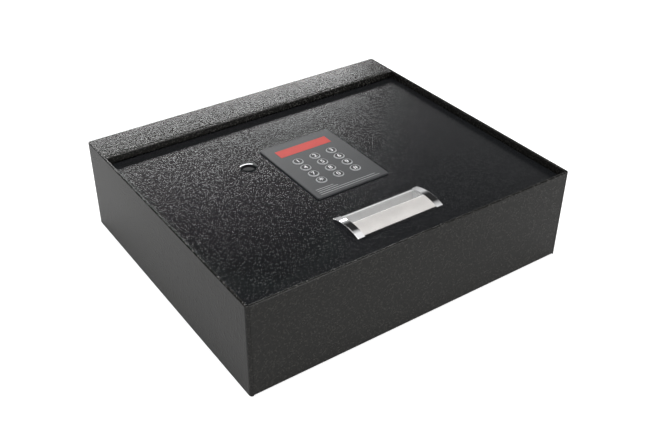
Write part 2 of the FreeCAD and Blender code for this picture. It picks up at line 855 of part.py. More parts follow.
def spring_legs(start, rise, radius, wire):
    """The straight ends of a spring: down and round a bend into the arm, and forward under the lid."""
    across = f"{HINGE_Y} + {radius}"
    low = f"({HINGE_Z} - spring_hook)"
    down = bar("spring_down_leg", "z", (start, across), wire, (f"{low} + spring_bend", HINGE_Z))
    reach = ("arm_place - arm_thick / 2 - 0.5", f"{start} - spring_bend")
    hook = bar("spring_hook_end", "x", (across, low), wire, reach)
    elbow = doc.addObject("Part::Torus", "spring_elbow")
    elbow.setExpression("Radius1", bound("spring_bend"))
    elbow.setExpression("Radius2", bound(wire))
    elbow.Angle3 = 90
    down_first = (FreeCAD.Vector(0, 0, -1), FreeCAD.Vector(1, 0, 0), FreeCAD.Vector(0, -1, 0))
    elbow.Placement = FreeCAD.Placement(FreeCAD.Vector(), FreeCAD.Rotation(*down_first, "XYZ"))
    for letter, text in zip(LETTERS, (f"{start} - spring_bend", across, f"{low} + spring_bend")):
        elbow.setExpression(f"Placement.Base.{letter}", bound(text))
    lid_place = (f"{start} + {rise}", f"{HINGE_Z} + {radius}")
    lid_leg = bar("spring_lid_leg", "y", lid_place, wire, (f"{HINGE_Y} - spring_leg", HINGE_Y))
    return down, elbow, hook, lid_leg


# The lid.


def lid_plate():
    """The lid: a thick plate with openings for the keypad, the handle and the emergency lock."""
    blank = block("lid_blank", (f"-{LID_HALF}", LID_HALF), (LID_FRONT, LID_BACK), (LID_UNDER, LID_TOP))
    corners = rounded("lid_corners", blank, "lid_corner", lambda e: runs_along(e, "z"))
    edges = rounded("lid_edges", corners, "lid_round", lambda e: lies_at(e, "z", LID_TOP))
    through = (f"{LID_UNDER} - 1", f"{LID_TOP} + 1")
    keypad_half = "(keypad_width / 2 - keypad_margin)"
    keypad_back = f"(keypad_depth - {KEYPAD_FRONT})"
    cuts = [
        block(
            "lid_keypad_opening",
            (f"-{keypad_half}", keypad_half),
            (f"-{KEYPAD_FRONT} + keypad_margin", f"{keypad_back} - keypad_margin"),
            through,
        ),
        block(
            "lid_handle_opening",
            (f"-{HANDLE_INNER} - cup_wall - fit_gap", f"{HANDLE_INNER} + cup_wall + fit_gap"),
            (
                f"-{HANDLE_BACK} - handle_depth + handle_bar - fit_gap",
                f"-{HANDLE_BACK} - handle_bar + fit_gap",
            ),
            through,
        ),
        bar("lid_lock_hole", "z", ("-lock_across", LOCK_Y), "lock_hole", through),
    ]
    for number, (x, y) in enumerate(stud_places()):
        cuts.append(bar(f"lid_stud_hole_{number}", "z", (x, y), "stud_radius + fit_gap", through))
    blind = (f"{LID_UNDER} - 1", f"{LID_UNDER} + lid_plate * 0.7")
    for number, (x, y) in enumerate(cover_screw_places()):
        cuts.append(bar(f"lid_screw_hole_{number}", "z", (x, y), "screw_radius", blind))
    for number, (x, y) in enumerate(lock_screw_places()):
        cuts.append(bar(f"lid_lock_screw_hole_{number}", "z", (x, y), "screw_radius * 0.75", blind))
    keep("lid_plate", carved("lid_whole", edges, *cuts))


def stud_places():
    """Where the handle's four studs pass the lid."""
    across = "(handle_width / 2 - handle_strip / 2 + 1)"
    return [
        (f"{sign}{across}", f"{HANDLE_Y} {end} handle_depth * 0.36")
        for sign in ("-", "")
        for end in ("-", "+")
    ]


def cover_screw_places():
    """Where the mechanism cover is screwed to the lid."""
    across = "(case_half + case_flange / 2)"
    rows = (f"-{CASE_FRONT} + 20", f"-{CASE_FRONT} / 4", f"{CASE_BACK} - 20")
    return [(f"{sign}{across}", row) for sign in ("-", "") for row in rows]


def lock_screw_places():
    """Where the lock housing is screwed to the lid."""
    across = "((lock_flange + lock_barrel) / 2)"
    return [(f"-lock_across {sign} {across}", LOCK_Y) for sign in ("-", "+")]


# The keypad.


def key_places():
    """The twelve keys, row by row from the back."""
    names = "1 2 3 4 5 6 7 8 9 star 0 hash".split()
    for number, name in enumerate(names):
        across = f"({number % 3 - 1} * key_pitch_across)"
        along = f"({FIRST_ROW_Y} - {number // 3} * key_pitch_along)"
        yield name, across, along


def keypad_fascia():
    """The moulded fascia: a plate over the lid with a frame below it that fills the lid's opening."""
    half = "(keypad_width / 2)"
    back = f"(keypad_depth - {KEYPAD_FRONT})"
    plate = block("fascia_plate", (f"-{half}", half), (f"-{KEYPAD_FRONT}", back), (LID_TOP, FASCIA_TOP))
    plate = rounded("fascia_corners", plate, "keypad_corner", lambda e: runs_along(e, "z"))
    plate = rounded("fascia_edges", plate, "keypad_proud / 2", lambda e: lies_at(e, "z", FASCIA_TOP))
    inset = "(keypad_margin + fit_gap)"
    frame_x = (f"-{half} + {inset}", f"{half} - {inset}")
    frame_y = (f"-{KEYPAD_FRONT} + {inset}", f"{back} - {inset}")
    frame = block("fascia_frame", frame_x, frame_y, (f"{LID_TOP} - housing_depth", LID_TOP))
    hollow = block(
        "fascia_hollow",
        (f"{frame_x[0]} + housing_wall", f"{frame_x[1]} - housing_wall"),
        (f"{frame_y[0]} + housing_wall", f"{frame_y[1]} - housing_wall"),
        (f"{LID_TOP} - housing_depth - 1", FASCIA_UNDER),
    )
    cuts = [hollow]
    through = (f"{FASCIA_UNDER} - 1", f"{FASCIA_TOP} + 1")
    for name, x, y in key_places():
        cuts.append(bar(f"fascia_hole_{name}", "z", (x, y), "key_radius + fit_gap", through))
    cuts.append(
        block(
            "fascia_window_hole",
            ("-window_width / 2 - 0.1", "window_width / 2 + 0.1"),
            (f"{WINDOW_Y} - window_depth / 2 - 0.1", f"{WINDOW_Y} + window_depth / 2 + 0.1"),
            through,
        )
    )
    keep("keypad_fascia", carved("fascia_whole", fused("fascia_blank", plate, frame), *cuts))


def display_window():
    """The red window, held from below by its flange."""
    face = block(
        "window_face",
        ("-window_width / 2", "window_width / 2"),
        (f"{WINDOW_Y} - window_depth / 2", f"{WINDOW_Y} + window_depth / 2"),
        (f"{FASCIA_UNDER} - 0.5", f"{FASCIA_TOP} + 0.1"),
    )
    flange = block(
        "window_rebate",
        ("-window_width / 2 - window_flange", "window_width / 2 + window_flange"),
        (
            f"{WINDOW_Y} - window_depth / 2 - window_flange",
            f"{WINDOW_Y} + window_depth / 2 + window_flange",
        ),
        (f"{FASCIA_UNDER} - 1", FASCIA_UNDER),
    )
    keep("display_window", fused("window_whole", face, flange))


def keys():
    """Round keys with a bevelled edge, a flange below the fascia and a stem above the key mat."""
    top = f"({FASCIA_TOP} + key_proud)"
    flange_top = f"({FASCIA_UNDER} - 0.4)"
    flange_low = f"({flange_top} - key_flange)"
    for name, x, y in key_places():
        cap = bar(f"cap_{name}", "z", (x, y), "key_radius", (flange_low, f"{top} - key_bevel"))
        bevel = cone(
            f"bevel_{name}", (x, y), "key_radius", "key_radius - key_bevel", (f"{top} - key_bevel", top)
        )
        flange = bar(f"flange_{name}", "z", (x, y), "key_radius + 0.8", (flange_low, flange_top))
        stem = bar(f"stem_{name}", "z", (x, y), "key_radius / 2", (f"{flange_low} - 1", flange_low))
        keep(f"key_{name}", fused(f"key_{name}_whole", cap, bevel, flange, stem))


def board_limits():
    """The plan limits of the keypad board, inside the fascia's frame."""
    inset = "(keypad_margin + 2 * fit_gap + housing_wall)"
    x = (f"-keypad_width / 2 + {inset}", f"keypad_width / 2 - {inset}")
    y = (f"-{KEYPAD_FRONT} + {inset}", f"keypad_depth - {KEYPAD_FRONT} - {inset}")
    return x, y


def keypad_board():
    """The circuit board under the key mat, with its controller and a connector below."""
    x, y = board_limits()
    plate = block("board_plate", x, y, (f"{BOARD_TOP} - board_thick", BOARD_TOP))
    chip = block(
        "board_chip",
        ("-chip_place", "-chip_place + chip_side"),
        (f"chip_setback - {KEYPAD_FRONT}", f"chip_setback - {KEYPAD_FRONT} + chip_side"),
        (f"{BOARD_TOP} - board_thick - 1.6", f"{BOARD_TOP} - board_thick"),
    )
    socket = block(
        "board_socket",
        ("socket_place", "socket_place + socket_width"),
        (f"socket_setback - {KEYPAD_FRONT}", f"socket_setback - {KEYPAD_FRONT} + socket_depth"),
        (f"{BOARD_TOP} - board_thick - 3", f"{BOARD_TOP} - board_thick"),
    )
    keep("keypad_board", fused("board_whole", plate, chip, socket))


def key_mat():
    """The silicone mat on the board, with a dome under each key."""
    x, y = board_limits()
    top = f"({BOARD_TOP} + mat_thick)"
    pieces = [block("mat_sheet", x, (y[0], f"{FIRST_ROW_Y} + key_pitch_along / 2"), (BOARD_TOP, top))]
    stem = f"({FASCIA_UNDER} - 0.4 - key_flange - 1)"
    for name, u, v in key_places():
        pieces.append(
            cone(
                f"dome_{name}",
                (u, v),
                "key_radius * 0.7",
                "key_radius * 0.45",
                (top, f"{stem} - key_travel - 0.1"),
            )
        )
    keep("key_mat", fused("key_mat_whole", *pieces))


def display_module():
    """The display on the board, below the window."""
    keep(
        "display_module",
        block(
            "display_module_box",
            ("-window_width / 2 + 2", "window_width / 2 - 2"),
            (f"{WINDOW_Y} - window_depth / 2 + 0.5", f"{WINDOW_Y} + window_depth / 2 - 0.5"),
            (BOARD_TOP, f"{FASCIA_UNDER} - 1.3"),
        ),
    )


# The plug and the emergency lock.


def lock_plug():
    """The domed plug over the keyhole."""
    made = body("lock_plug_body")
    profile = sketch(made, "plug_profile", "XZ_Plane")
    low = f"({LID_TOP} - plug_stem_drop)"
    polygon(
        profile,
        [
            ("0", low),
            ("plug_stem", low),
            ("plug_stem", LID_TOP),
            ("plug_radius", LID_TOP),
            ("plug_radius", f"{LID_TOP} + plug_edge"),
            ("0", f"{LID_TOP} + plug_edge"),
        ],
    )
    turned = made.newObject("PartDesign::Revolution", "plug_turned")
    turned.Profile = profile
    turned.ReferenceAxis = (profile, ["V_Axis"])
    turned.Angle = 360
    made.setExpression("Placement.Base.x", bound("-lock_across"))
    made.setExpression("Placement.Base.y", bound(LOCK_Y))
    rise = "(plug_dome - plug_edge)"
    ball_radius = f"((plug_radius ^ 2 + {rise} ^ 2) / (2 * {rise}))"
    ball = doc.addObject("Part::Sphere", "plug_ball")
    ball.setExpression("Radius", bound(ball_radius))
    for letter, text in zip(
        LETTERS, ("-lock_across", LOCK_Y, f"{LID_TOP} + plug_dome - {ball_radius}")
    ):
        ball.setExpression(f"Placement.Base.{letter}", bound(text))
    slab = bar(
        "plug_slab",
        "z",
        ("-lock_across", LOCK_Y),
        "plug_radius",
        (f"{LID_TOP} + plug_edge", f"{LID_TOP} + plug_dome + 1"),
    )
    dome = shared("plug_dome_cap", slab, ball)
    keep("lock_plug", fused("lock_plug_whole", made, dome))


def lock_housing():
    """The housing of the emergency lock, screwed to the underside of the lid."""
    centre = ("-lock_across", LOCK_Y)
    barrel = bar("housing_barrel", "z", centre, "lock_barrel", (CORE_BOTTOM, LOCK_FACE))
    flange = bar(
        "housing_flange", "z", centre, "lock_flange", (f"{LOCK_FACE} - lock_flange_thick", LOCK_FACE)
    )
    cuts = [
        bar(
            "housing_bore",
            "z",
            centre,
            "core_radius + running_gap",
            (f"{CORE_BOTTOM} - 1", f"{LOCK_FACE} + 1"),
        )
    ]
    for number, place in enumerate(lock_screw_places()):
        span = (f"{LOCK_FACE} - lock_flange_thick - 1", f"{LOCK_FACE} + 1")
        cuts.append(bar(f"housing_screw_hole_{number}", "z", place, "screw_radius * 0.75", span))
    keep("lock_housing", carved("housing_whole", fused("housing_blank", barrel, flange), *cuts))


def lock_screws():
    """Two small screws that hold the lock housing."""
    head = (f"{LOCK_FACE} - lock_flange_thick - 1.4", f"{LOCK_FACE} - lock_flange_thick")
    screws = []
    for number, place in enumerate(lock_screw_places()):
        shank = bar(
            f"lock_screw_shank_{number}",
            "z",
            place,
            "screw_radius * 0.7",
            (head[1], f"{LID_UNDER} + lid_plate / 2"),
        )
        cap = bar(f"lock_screw_head_{number}", "z", place, "screw_radius", head)
        screws.append(fused(f"lock_screw_{number}", shank, cap))
    keep("lock_screws", group("lock_screws_set", *screws))


def lock_core():
    """The core, with a keyway from above."""
    centre = ("-lock_across", LOCK_Y)
    blank = bar("core_blank", "z", centre, "core_radius", (CORE_BOTTOM, f"{LOCK_FACE} - 0.5"))
    keyway = block(
        "core_keyway",
        ("-lock_across - 1.1", "-lock_across + 1.1"),
        (f"{LOCK_Y} - 4", f"{LOCK_Y} + 4"),
        (f"{LOCK_FACE} - keyway_depth", f"{LOCK_FACE} + 1"),
    )
    keep("lock_core", carved("core_whole", blank, keyway))


def crank_place():
    """Where the cam's pin stands with the bolts drawn back."""
    half_turn = "(cam_turn / 2 * pi / 180)"
    across = f"(-lock_across + cam_crank * cos({half_turn} * 1 rad))"
    along = f"({LOCK_Y} + cam_crank * sin({half_turn} * 1 rad))"
    return across, along


def lock_cam():
    """The cam under the core, whose pin stands in the carrier's cross slot."""
    centre = ("-lock_across", LOCK_Y)
    top = CORE_BOTTOM
    pin_x, pin_y = crank_place()
    hub = bar("cam_hub", "z", centre, "core_radius", (f"{top} - cam_thick", top))
    tip = bar("cam_tip", "z", (pin_x, pin_y), "cam_pin + 1", (f"{top} - cam_thick", top))
    pin = bar("cam_pin_bar", "z", (pin_x, pin_y), "cam_pin", (f"{CARRIER_FLOOR} + 0.4", top))
    keep("lock_cam", fused("cam_whole", hub, tip, pin))


# The handle.


def handle_bezel():
    """The chrome frame: two arched end strips joined by thin long edges, with a stud under each corner."""
    y = (f"-{HANDLE_BACK} - handle_depth", f"-{HANDLE_BACK}")
    arch = bar(
        "bezel_arch", "x", (HANDLE_Y, ARCH_CENTRE), ARCH_RADIUS, ("-handle_width / 2", "handle_width / 2")
    )
    blank = block(
        "bezel_blank", ("-handle_width / 2", "handle_width / 2"), y, (LID_TOP, f"{LID_TOP} + handle_rise + 5")
    )
    hump = shared("bezel_hump", blank, arch)
    window = block(
        "bezel_window",
        (f"-{HANDLE_INNER}", HANDLE_INNER),
        (f"{y[0]} + handle_bar", f"{y[1]} - handle_bar"),
        (f"{LID_TOP} - 1", f"{LID_TOP} + handle_rise + 6"),
    )
    shave = block(
        "bezel_shave",
        (f"-{HANDLE_INNER}", HANDLE_INNER),
        (f"{y[0]} - 1", f"{y[1]} + 1"),
        (f"{LID_TOP} + handle_edge", f"{LID_TOP} + handle_rise + 6"),
    )
    frame = carved("bezel_frame", hump, window, shave)
    eased = rounded(
        "bezel_eased",
        frame,
        "handle_edge * 0.6",
        lambda e: abs(abs(middle(e).x) - value("handle_width / 2")) < 1e-3
        and middle(e).z > value(f"{LID_TOP} + handle_edge"),
    )
    studs = []
    for number, place in enumerate(stud_places()):
        studs.append(
            bar(
                f"bezel_stud_{number}",
                "z",
                place,
                "stud_radius",
                (f"{LID_UNDER} - nut_thick - 1", f"{LID_TOP} + 0.5"),
            )
        )
    keep("handle_bezel", fused("bezel_whole", eased, *studs))


def handle_nuts():
    """The nuts on the bezel's studs, under the lid."""
    nuts = []
    for number, place in enumerate(stud_places()):
        span = (f"{LID_UNDER} - nut_thick", LID_UNDER)
        blank = hexagon(f"nut_blank_{number}", place, "nut_across", span)
        hole = bar(f"nut_hole_{number}", "z", place, "stud_radius", (f"{span[0]} - 1", f"{span[1]} + 1"))
        nuts.append(carved(f"nut_{number}", blank, hole))
    keep("handle_nuts", group("handle_nuts_set", *nuts))


def handle_hood():
    """The satin hood: a curved sheet over the front half of the cup, with a rolled lip to pull on."""
    x = (f"-{HANDLE_INNER}", HANDLE_INNER)
    top = f"({ARCH_RADIUS} - 0.4)"
    outer = bar("hood_outer", "x", (HANDLE_Y, ARCH_CENTRE), top, x)
    inner = bar(
        "hood_inner", "x", (HANDLE_Y, ARCH_CENTRE), f"{top} - hood_thick", (f"{x[0]} - 1", f"{x[1]} + 1")
    )
    shell = carved("hood_shell", outer, inner)
    front = f"(-{HANDLE_BACK} - handle_depth + handle_bar)"
    field = block("hood_field", x, (front, HANDLE_Y), (f"{LID_TOP} - 1", f"{LID_TOP} + handle_rise + 6"))
    sheet_part = shared("hood_sheet", field, shell)
    lip = bar("hood_lip_roll", "x", (HANDLE_Y, f"{ARCH_CENTRE} + {top} - hood_lip"), "hood_lip", x)
    foot = block("hood_foot", x, (front, f"{front} + hood_thick"), (f"{LID_UNDER}", f"{LID_TOP} + 1.2"))
    keep("handle_hood", fused("hood_whole", sheet_part, lip, foot))


def handle_cup():
    """The satin cup that closes the lid below the hood."""
    made = body("handle_cup_body")
    low = f"({LID_TOP} - cup_depth)"
    x = (f"-{HANDLE_INNER} - cup_wall", f"{HANDLE_INNER} + cup_wall")
    front = f"(-{HANDLE_BACK} - handle_depth + handle_bar)"
    back = f"(-{HANDLE_BACK} - handle_bar)"
    plan = sketch(made, "cup_plan", "XY_Plane", low)
    rectangle(plan, x, (front, back))
    pad(made, plan, f"{LID_TOP} - {low}")
    softened(made, "cup_bend", lambda e: lies_at(e, "z", low) and runs_along(e, "x"))
    hollow = block(
        "cup_hollow",
        (f"-{HANDLE_INNER}", HANDLE_INNER),
        (f"{front} + hood_thick + 0.1", f"{back} - cup_wall"),
        (f"{low} + cup_wall", f"{LID_TOP} + 1"),
    )
    hollow = rounded(
        "cup_hollow_round",
        hollow,
        "cup_bend - cup_wall",
        lambda e: runs_along(e, "x") and middle(e).z < value(LID_UNDER),
    )
    slot = block(
        "cup_front_slot",
        (f"-{HANDLE_INNER} - 0.1", f"{HANDLE_INNER} + 0.1"),
        (f"{front} - 1", f"{front} + hood_thick + 0.2"),
        (f"{LID_UNDER} - 0.2", f"{LID_TOP} + 1"),
    )
    keep("handle_cup", carved("handle_cup_whole", made, hollow, slot))


# The mechanism cover.


def mechanism_cover():
    """A pan under the lid with a screwed flange, holes for the bolts and rails for the battery door."""
    x = ("-case_half", "case_half")
    y = (f"-{CASE_FRONT}", CASE_BACK)
    outer = block("case_outer", x, y, (CASE_BOTTOM, LID_UNDER))
    outer = rounded("case_outer_corners", outer, "case_corner", lambda e: runs_along(e, "z"))
    outer = rounded("case_outer_edges", outer, "case_edge", lambda e: lies_at(e, "z", CASE_BOTTOM))
    inner = block(
        "case_inner",
        (f"{x[0]} + case_wall", f"{x[1]} - case_wall"),
        (f"{y[0]} + case_wall", f"{y[1]} - case_wall"),
        (f"{CASE_BOTTOM} + case_wall", f"{LID_UNDER} + 1"),
    )
    inner = rounded("case_inner_corners", inner, "case_corner - case_wall", lambda e: runs_along(e, "z"))
    flange = block(
        "case_rim",
        (f"{x[0]} - case_flange", f"{x[1]} + case_flange"),
        (f"{y[0]} - case_flange", f"{y[1]} + case_flange"),
        (f"{LID_UNDER} - case_wall", LID_UNDER),
    )
    flange = rounded("case_rim_corners", flange, "case_corner", lambda e: runs_along(e, "z"))
    cuts = [inner]
    for side, sign in (("left", "-"), ("right", "")):
        cuts.append(
            bar(
                f"case_bolt_hole_{side}",
                "y",
                (f"{sign}bolt_place", BOLT_Z),
                "bolt_radius + 0.5",
                (f"{y[0]} - 1", f"{y[0]} + 3"),
            )
        )
    for number, place in enumerate(cover_screw_places()):
        cuts.append(
            bar(
                f"case_screw_hole_{number}",
                "z",
                place,
                "screw_radius + 0.2",
                (f"{LID_UNDER} - 3", f"{LID_UNDER} + 1"),
            )
        )
    hatch_x = ("battery_left + 1", f"{BATTERY_RIGHT} - 1")
    hatch_y = (f"{BATTERY_FRONT} + 1", f"{BATTERY_BACK} - 1")
    cuts.append(block("case_hatch", hatch_x, hatch_y, (f"{CASE_BOTTOM} - 1", f"{CASE_BOTTOM} + 3")))
    rails = []
    for side, (edge, inward) in {
        "front": (f"({hatch_y[0]} - door_overlap)", 1),
        "back": (f"({hatch_y[1]} + door_overlap)", -1),
    }.items():
        sign = "+" if inward > 0 else "-"
        away = "-" if inward > 0 else "+"
        wall_y = sorted((f"{edge} {away} door_gap", f"{edge} {away} door_gap {away} rail_thick"), key=value)
        lip_y = sorted(
            (f"{edge} {away} door_gap {away} rail_thick", f"{edge} {sign} rail_thick * 1.5"), key=value
        )
        low = f"{CASE_BOTTOM} - 2 * door_gap - door_thick - rail_thick"
        rails.append(block(f"case_rail_{side}", (hatch_x[0], hatch_x[1]), tuple(wall_y), (low, CASE_BOTTOM)))
        rails.append(
            block(f"case_lip_{side}", (hatch_x[0], hatch_x[1]), tuple(lip_y), (low, f"{low} + rail_thick"))
        )
    pan = carved("case_pan", fused("case_blank", outer, flange), *cuts)
    keep("mechanism_cover", fused("case_whole", pan, *rails))


def cover_screws():
    """Six pan-head screws through the cover's flange."""
    seat = f"({LID_UNDER} - case_wall)"
    screws = []
    for number, place in enumerate(cover_screw_places()):
        shank = bar(
            f"cover_shank_{number}", "z", place, "screw_radius", (seat, f"{LID_UNDER} + lid_plate / 2")
        )
        head = cone(
            f"cover_head_{number}",
            place,
            "screw_head * 0.8",
            "screw_head",
            (f"{seat} - screw_head_thick", seat),
        )
        screws.append(fused(f"cover_screw_{number}", shank, head))
    keep("cover_screws", group("cover_screws_set", *screws))


# The bolt work.


def lock_bolts():
    """Two round bolts with a bevelled nose, fixed to the carrier's front face."""
    for side, sign in (("left", "-"), ("right", "")):
        blank = bar(
            f"bolt_{side}_blank",
            "y",
            (f"{sign}bolt_place", BOLT_Z),
            "bolt_radius",
            (BOLT_TIP, CARRIER_Y),
        )
        made = rounded(
            f"lock_bolt_{side}_nose",
            blank,
            "bolt_bevel",
            lambda e: lies_at(e, "y", BOLT_TIP),
            "Part::Chamfer",
        )
        keep(f"lock_bolt_{side}", made)


def bolt_guides():
    """Guide blocks under the lid in which the bolts run."""
    for side, sign in (("left", "-"), ("right", "")):
        centre = f"{sign}bolt_place"
        y = (f"-{CASE_FRONT} + case_wall", f"-{CASE_FRONT} + case_wall + guide_depth")
        blank = block(
            f"guide_{side}_blank",
            (f"{centre} - guide_width / 2", f"{centre} + guide_width / 2"),
            y,
            (f"{BOLT_Z} - bolt_radius - 3", LID_UNDER),
        )
        blank = rounded(
            f"guide_{side}_round",
            blank,
            "guide_width / 4",
            lambda e: runs_along(e, "y") and middle(e).z < value(BOLT_Z),
        )
        bore = bar(
            f"guide_{side}_bore",
            "y",
            (centre, BOLT_Z),
            "bolt_radius + running_gap",
            (f"{y[0]} - 1", f"{y[1]} + 1"),
        )
        keep(f"bolt_guide_{side}", carved(f"bolt_guide_{side}_whole", blank, bore))


def post_places():
    """Where the carrier's guide posts stand: two in the long arm, one in the short one."""
    return [
        ("-lock_across", f"({CARRIER_Y} + carrier_bar + 12)"),
        ("-lock_across", f"({LOCK_Y} - 22)"),
        ("(bolt_place - 20)", f"({CARRIER_Y} + carrier_bar + 12)"),
    ]


def bolt_carrier():
    """A bent plate that joins the bolts, with guide slots, the cam's cross slot and the rack's seat."""
    front, back = CARRIER_Y, f"({CARRIER_Y} + carrier_bar)"
    floor = (CARRIER_FLOOR, CARRIER_TOP)
    wall = block(
        "carrier_wall", ("-carrier_half", "carrier_half"), (front, f"{front} + carrier_thick"), (
            CARRIER_FLOOR, f"{BOLT_Z} + bolt_radius"
        )
    )
    bar_plate = block("carrier_bar_plate", ("-carrier_half", "carrier_half"), (front, back), floor)
    arm_x = ("-lock_across - carrier_arm / 2", "-lock_across + carrier_arm / 2")
    arm_back = f"({LOCK_Y} + cam_crank + cam_pin + 8)"
    arm = block("carrier_arm_plate", arm_x, (f"{back} - 1", arm_back), floor)
    short_x = ("bolt_place - 20 - 9", "bolt_place - 20 + 9")
    short = block("carrier_short_arm", short_x, (f"{back} - 1", f"{back} + 34"), floor)
    seat_x = ("pinion_place - rack_width / 2 - 4", "pinion_place + rack_width / 2 + 4")
    seat = block("carrier_rack_seat", seat_x, (f"{back} - 1", f"{PINION_Y} + bolt_throw + 9"), floor)
    blank = fused("carrier_blank", wall, bar_plate, arm, short, seat)
    cuts = []
    for number, (x, y) in enumerate(post_places()):
        rear = f"{y} + bolt_throw"
        wide = "(post_radius + slot_gap)"
        span = (f"{CARRIER_FLOOR} - 1", f"{CARRIER_TOP} + 1")
        cuts.append(block(f"carrier_slot_{number}", (f"{x} - {wide}", f"{x} + {wide}"), (y, rear), span))
        cuts.append(bar(f"carrier_slot_front_{number}", "z", (x, y), wide, span))
        cuts.append(bar(f"carrier_slot_back_{number}", "z", (x, rear), wide, span))
    pin_x, pin_y = crank_place()
    wide = "(cam_pin + cam_slot_gap)"
    cuts.append(
        block(
            "carrier_cross_slot",
            ("-lock_across - cam_pin - 1", "-lock_across + cam_crank + cam_pin + 1.5"),
            (f"{pin_y} - {wide}", f"{pin_y} + {wide}"),
            (f"{CARRIER_FLOOR} - 1", f"{CARRIER_TOP} + 1"),
        )
    )
    keep("bolt_carrier", carved("carrier_whole", blank, *cuts))


def guide_posts():
    """Shouldered posts from the lid down through the carrier's slots, with a head below it."""
    posts = []
    for number, (x, y) in enumerate(post_places()):
        shoulder = bar(
            f"post_shoulder_{number}", "z", (x, y), "post_shoulder", (f"{CARRIER_TOP} + slot_gap", LID_UNDER)
        )
        neck = bar(
            f"post_neck_{number}",
            "z",
            (x, y),
            "post_radius",
            (f"{CARRIER_FLOOR} - slot_gap", f"{CARRIER_TOP} + slot_gap"),
        )
        head = bar(
            f"post_head_{number}",
            "z",
            (x, y),
            "post_head",
            (f"{CARRIER_FLOOR} - slot_gap - 1.4", f"{CARRIER_FLOOR} - slot_gap"),
        )
        posts.append(fused(f"post_{number}", shoulder, neck, head))
    keep("guide_posts", group("guide_posts_set", *posts))


# Rack, pinion and motor.


def rack_profile():
    """The rack's outline in Y and Z: straight-sided teeth with one tooth below the pinion's axis."""
    module = value("gear_module")
    pitch = math.pi * module
    centre = value(PINION_Y)
    pitch_line = value(RACK_PITCH)
    top = pitch_line + value("rack_addendum") * module
    root = pitch_line - 1.25 * module
    lean = math.tan(math.radians(20))
    half = pitch / 4 - value("rack_backlash") / 2
    first, last = -2, round((value("bolt_throw") + 2 * pitch) / pitch)
    points = [(centre + (first - 0.5) * pitch, value(CARRIER_TOP)), (centre + (first - 0.5) * pitch, root)]
    for number in range(first, last + 1):
        place = centre + number * pitch
        points.append((place - half - (pitch_line - root) * lean, root))
        points.append((place - half + (top - pitch_line) * lean, top))
        points.append((place + half - (top - pitch_line) * lean, top))
        points.append((place + half + (pitch_line - root) * lean, root))
    points.append((centre + (last + 0.5) * pitch, root))
    points.append((centre + (last + 0.5) * pitch, value(CARRIER_TOP)))
    return points


def drive_rack():
    """The toothed rack on the carrier."""
    start = value("pinion_place - rack_width / 2")
    points = [FreeCAD.Vector(start, y, z) for y, z in rack_profile()]
    wire = Part.makePolygon([*points, points[0]])
    made = doc.addObject("Part::Feature", "drive_rack_solid")
    made.Shape = Part.Face(wire).extrude(FreeCAD.Vector(value("rack_width"), 0, 0))
    keep("drive_rack", made)


def involute_flank(base, low, high, steps):
    """Radius and polar angle of points along an involute from one radius to another."""
    flank = []
    for number in range(steps + 1):
        radius = low + (high - low) * number / steps
        unwound = math.sqrt(max(radius**2 / base**2 - 1, 0))
        flank.append((radius, unwound - math.atan(unwound)))
    return flank


def drive_pinion():
    """An involute pinion in mesh with the rack, a gap of teeth straight down, bored for the shaft."""
    module = value("gear_module")
    teeth = round(value("pinion_teeth"))
    pitch_radius = module * teeth / 2
    pressure = math.radians(20)
    base = pitch_radius * math.cos(pressure)
    root, tip = pitch_radius - 0.95 * module, pitch_radius + module
    flank = involute_flank(base, max(base, root), tip, 4)
    at_pitch = math.tan(pressure) - pressure
    half_tooth = math.pi / (2 * teeth) + at_pitch
    start, width = value("pinion_place - pinion_width / 2"), value("pinion_width")
    centre = FreeCAD.Vector(start, value(PINION_Y), value(PINION_AXIS))

    def point(radius, angle):
        return centre + FreeCAD.Vector(0, radius * math.sin(angle), -radius * math.cos(angle))

    edges = []
    ends = []
    for number in range(teeth):
        axis = 2 * math.pi * (number + 0.5) / teeth
        rising = [point(radius, axis - half_tooth + turn) for radius, turn in flank]
        falling = [point(radius, axis + half_tooth - turn) for radius, turn in reversed(flank)]
        foot = point(root, axis - half_tooth)
        toe = point(root, axis + half_tooth)
        for path in (rising, falling):
            curve = Part.BSplineCurve()
            curve.interpolate(path)
            edges.append(curve.toShape())
        edges.append(Part.makeLine(foot, rising[0]))
        edges.append(Part.makeLine(rising[-1], falling[0]))
        edges.append(Part.makeLine(falling[-1], toe))
        ends.append((foot, toe))
    for (_, toe), (foot, _) in zip(ends, ends[1:] + ends[:1]):
        edges.append(Part.makeLine(toe, foot))
    wire = Part.Wire(Part.__sortEdges__(edges))
    gear = Part.Face(wire).extrude(FreeCAD.Vector(width, 0, 0))
    bore = Part.makeCylinder(
        value("shaft_radius"), width + 2, centre - FreeCAD.Vector(1, 0, 0), FreeCAD.Vector(1, 0, 0)
    )
    made = doc.addObject("Part::Feature", "drive_pinion_solid")
    made.Shape = gear.cut(bore)
    keep("drive_pinion", made)


def output_shaft():
    """The motor's output shaft, pressed into the pinion."""
    motor = "(pinion_place + pinion_width / 2 + motor_gap)"
    span = ("pinion_place - pinion_width / 2", motor)
    keep("output_shaft", bar("output_shaft_bar", "x", (PINION_Y, PINION_AXIS), "shaft_radius", span))


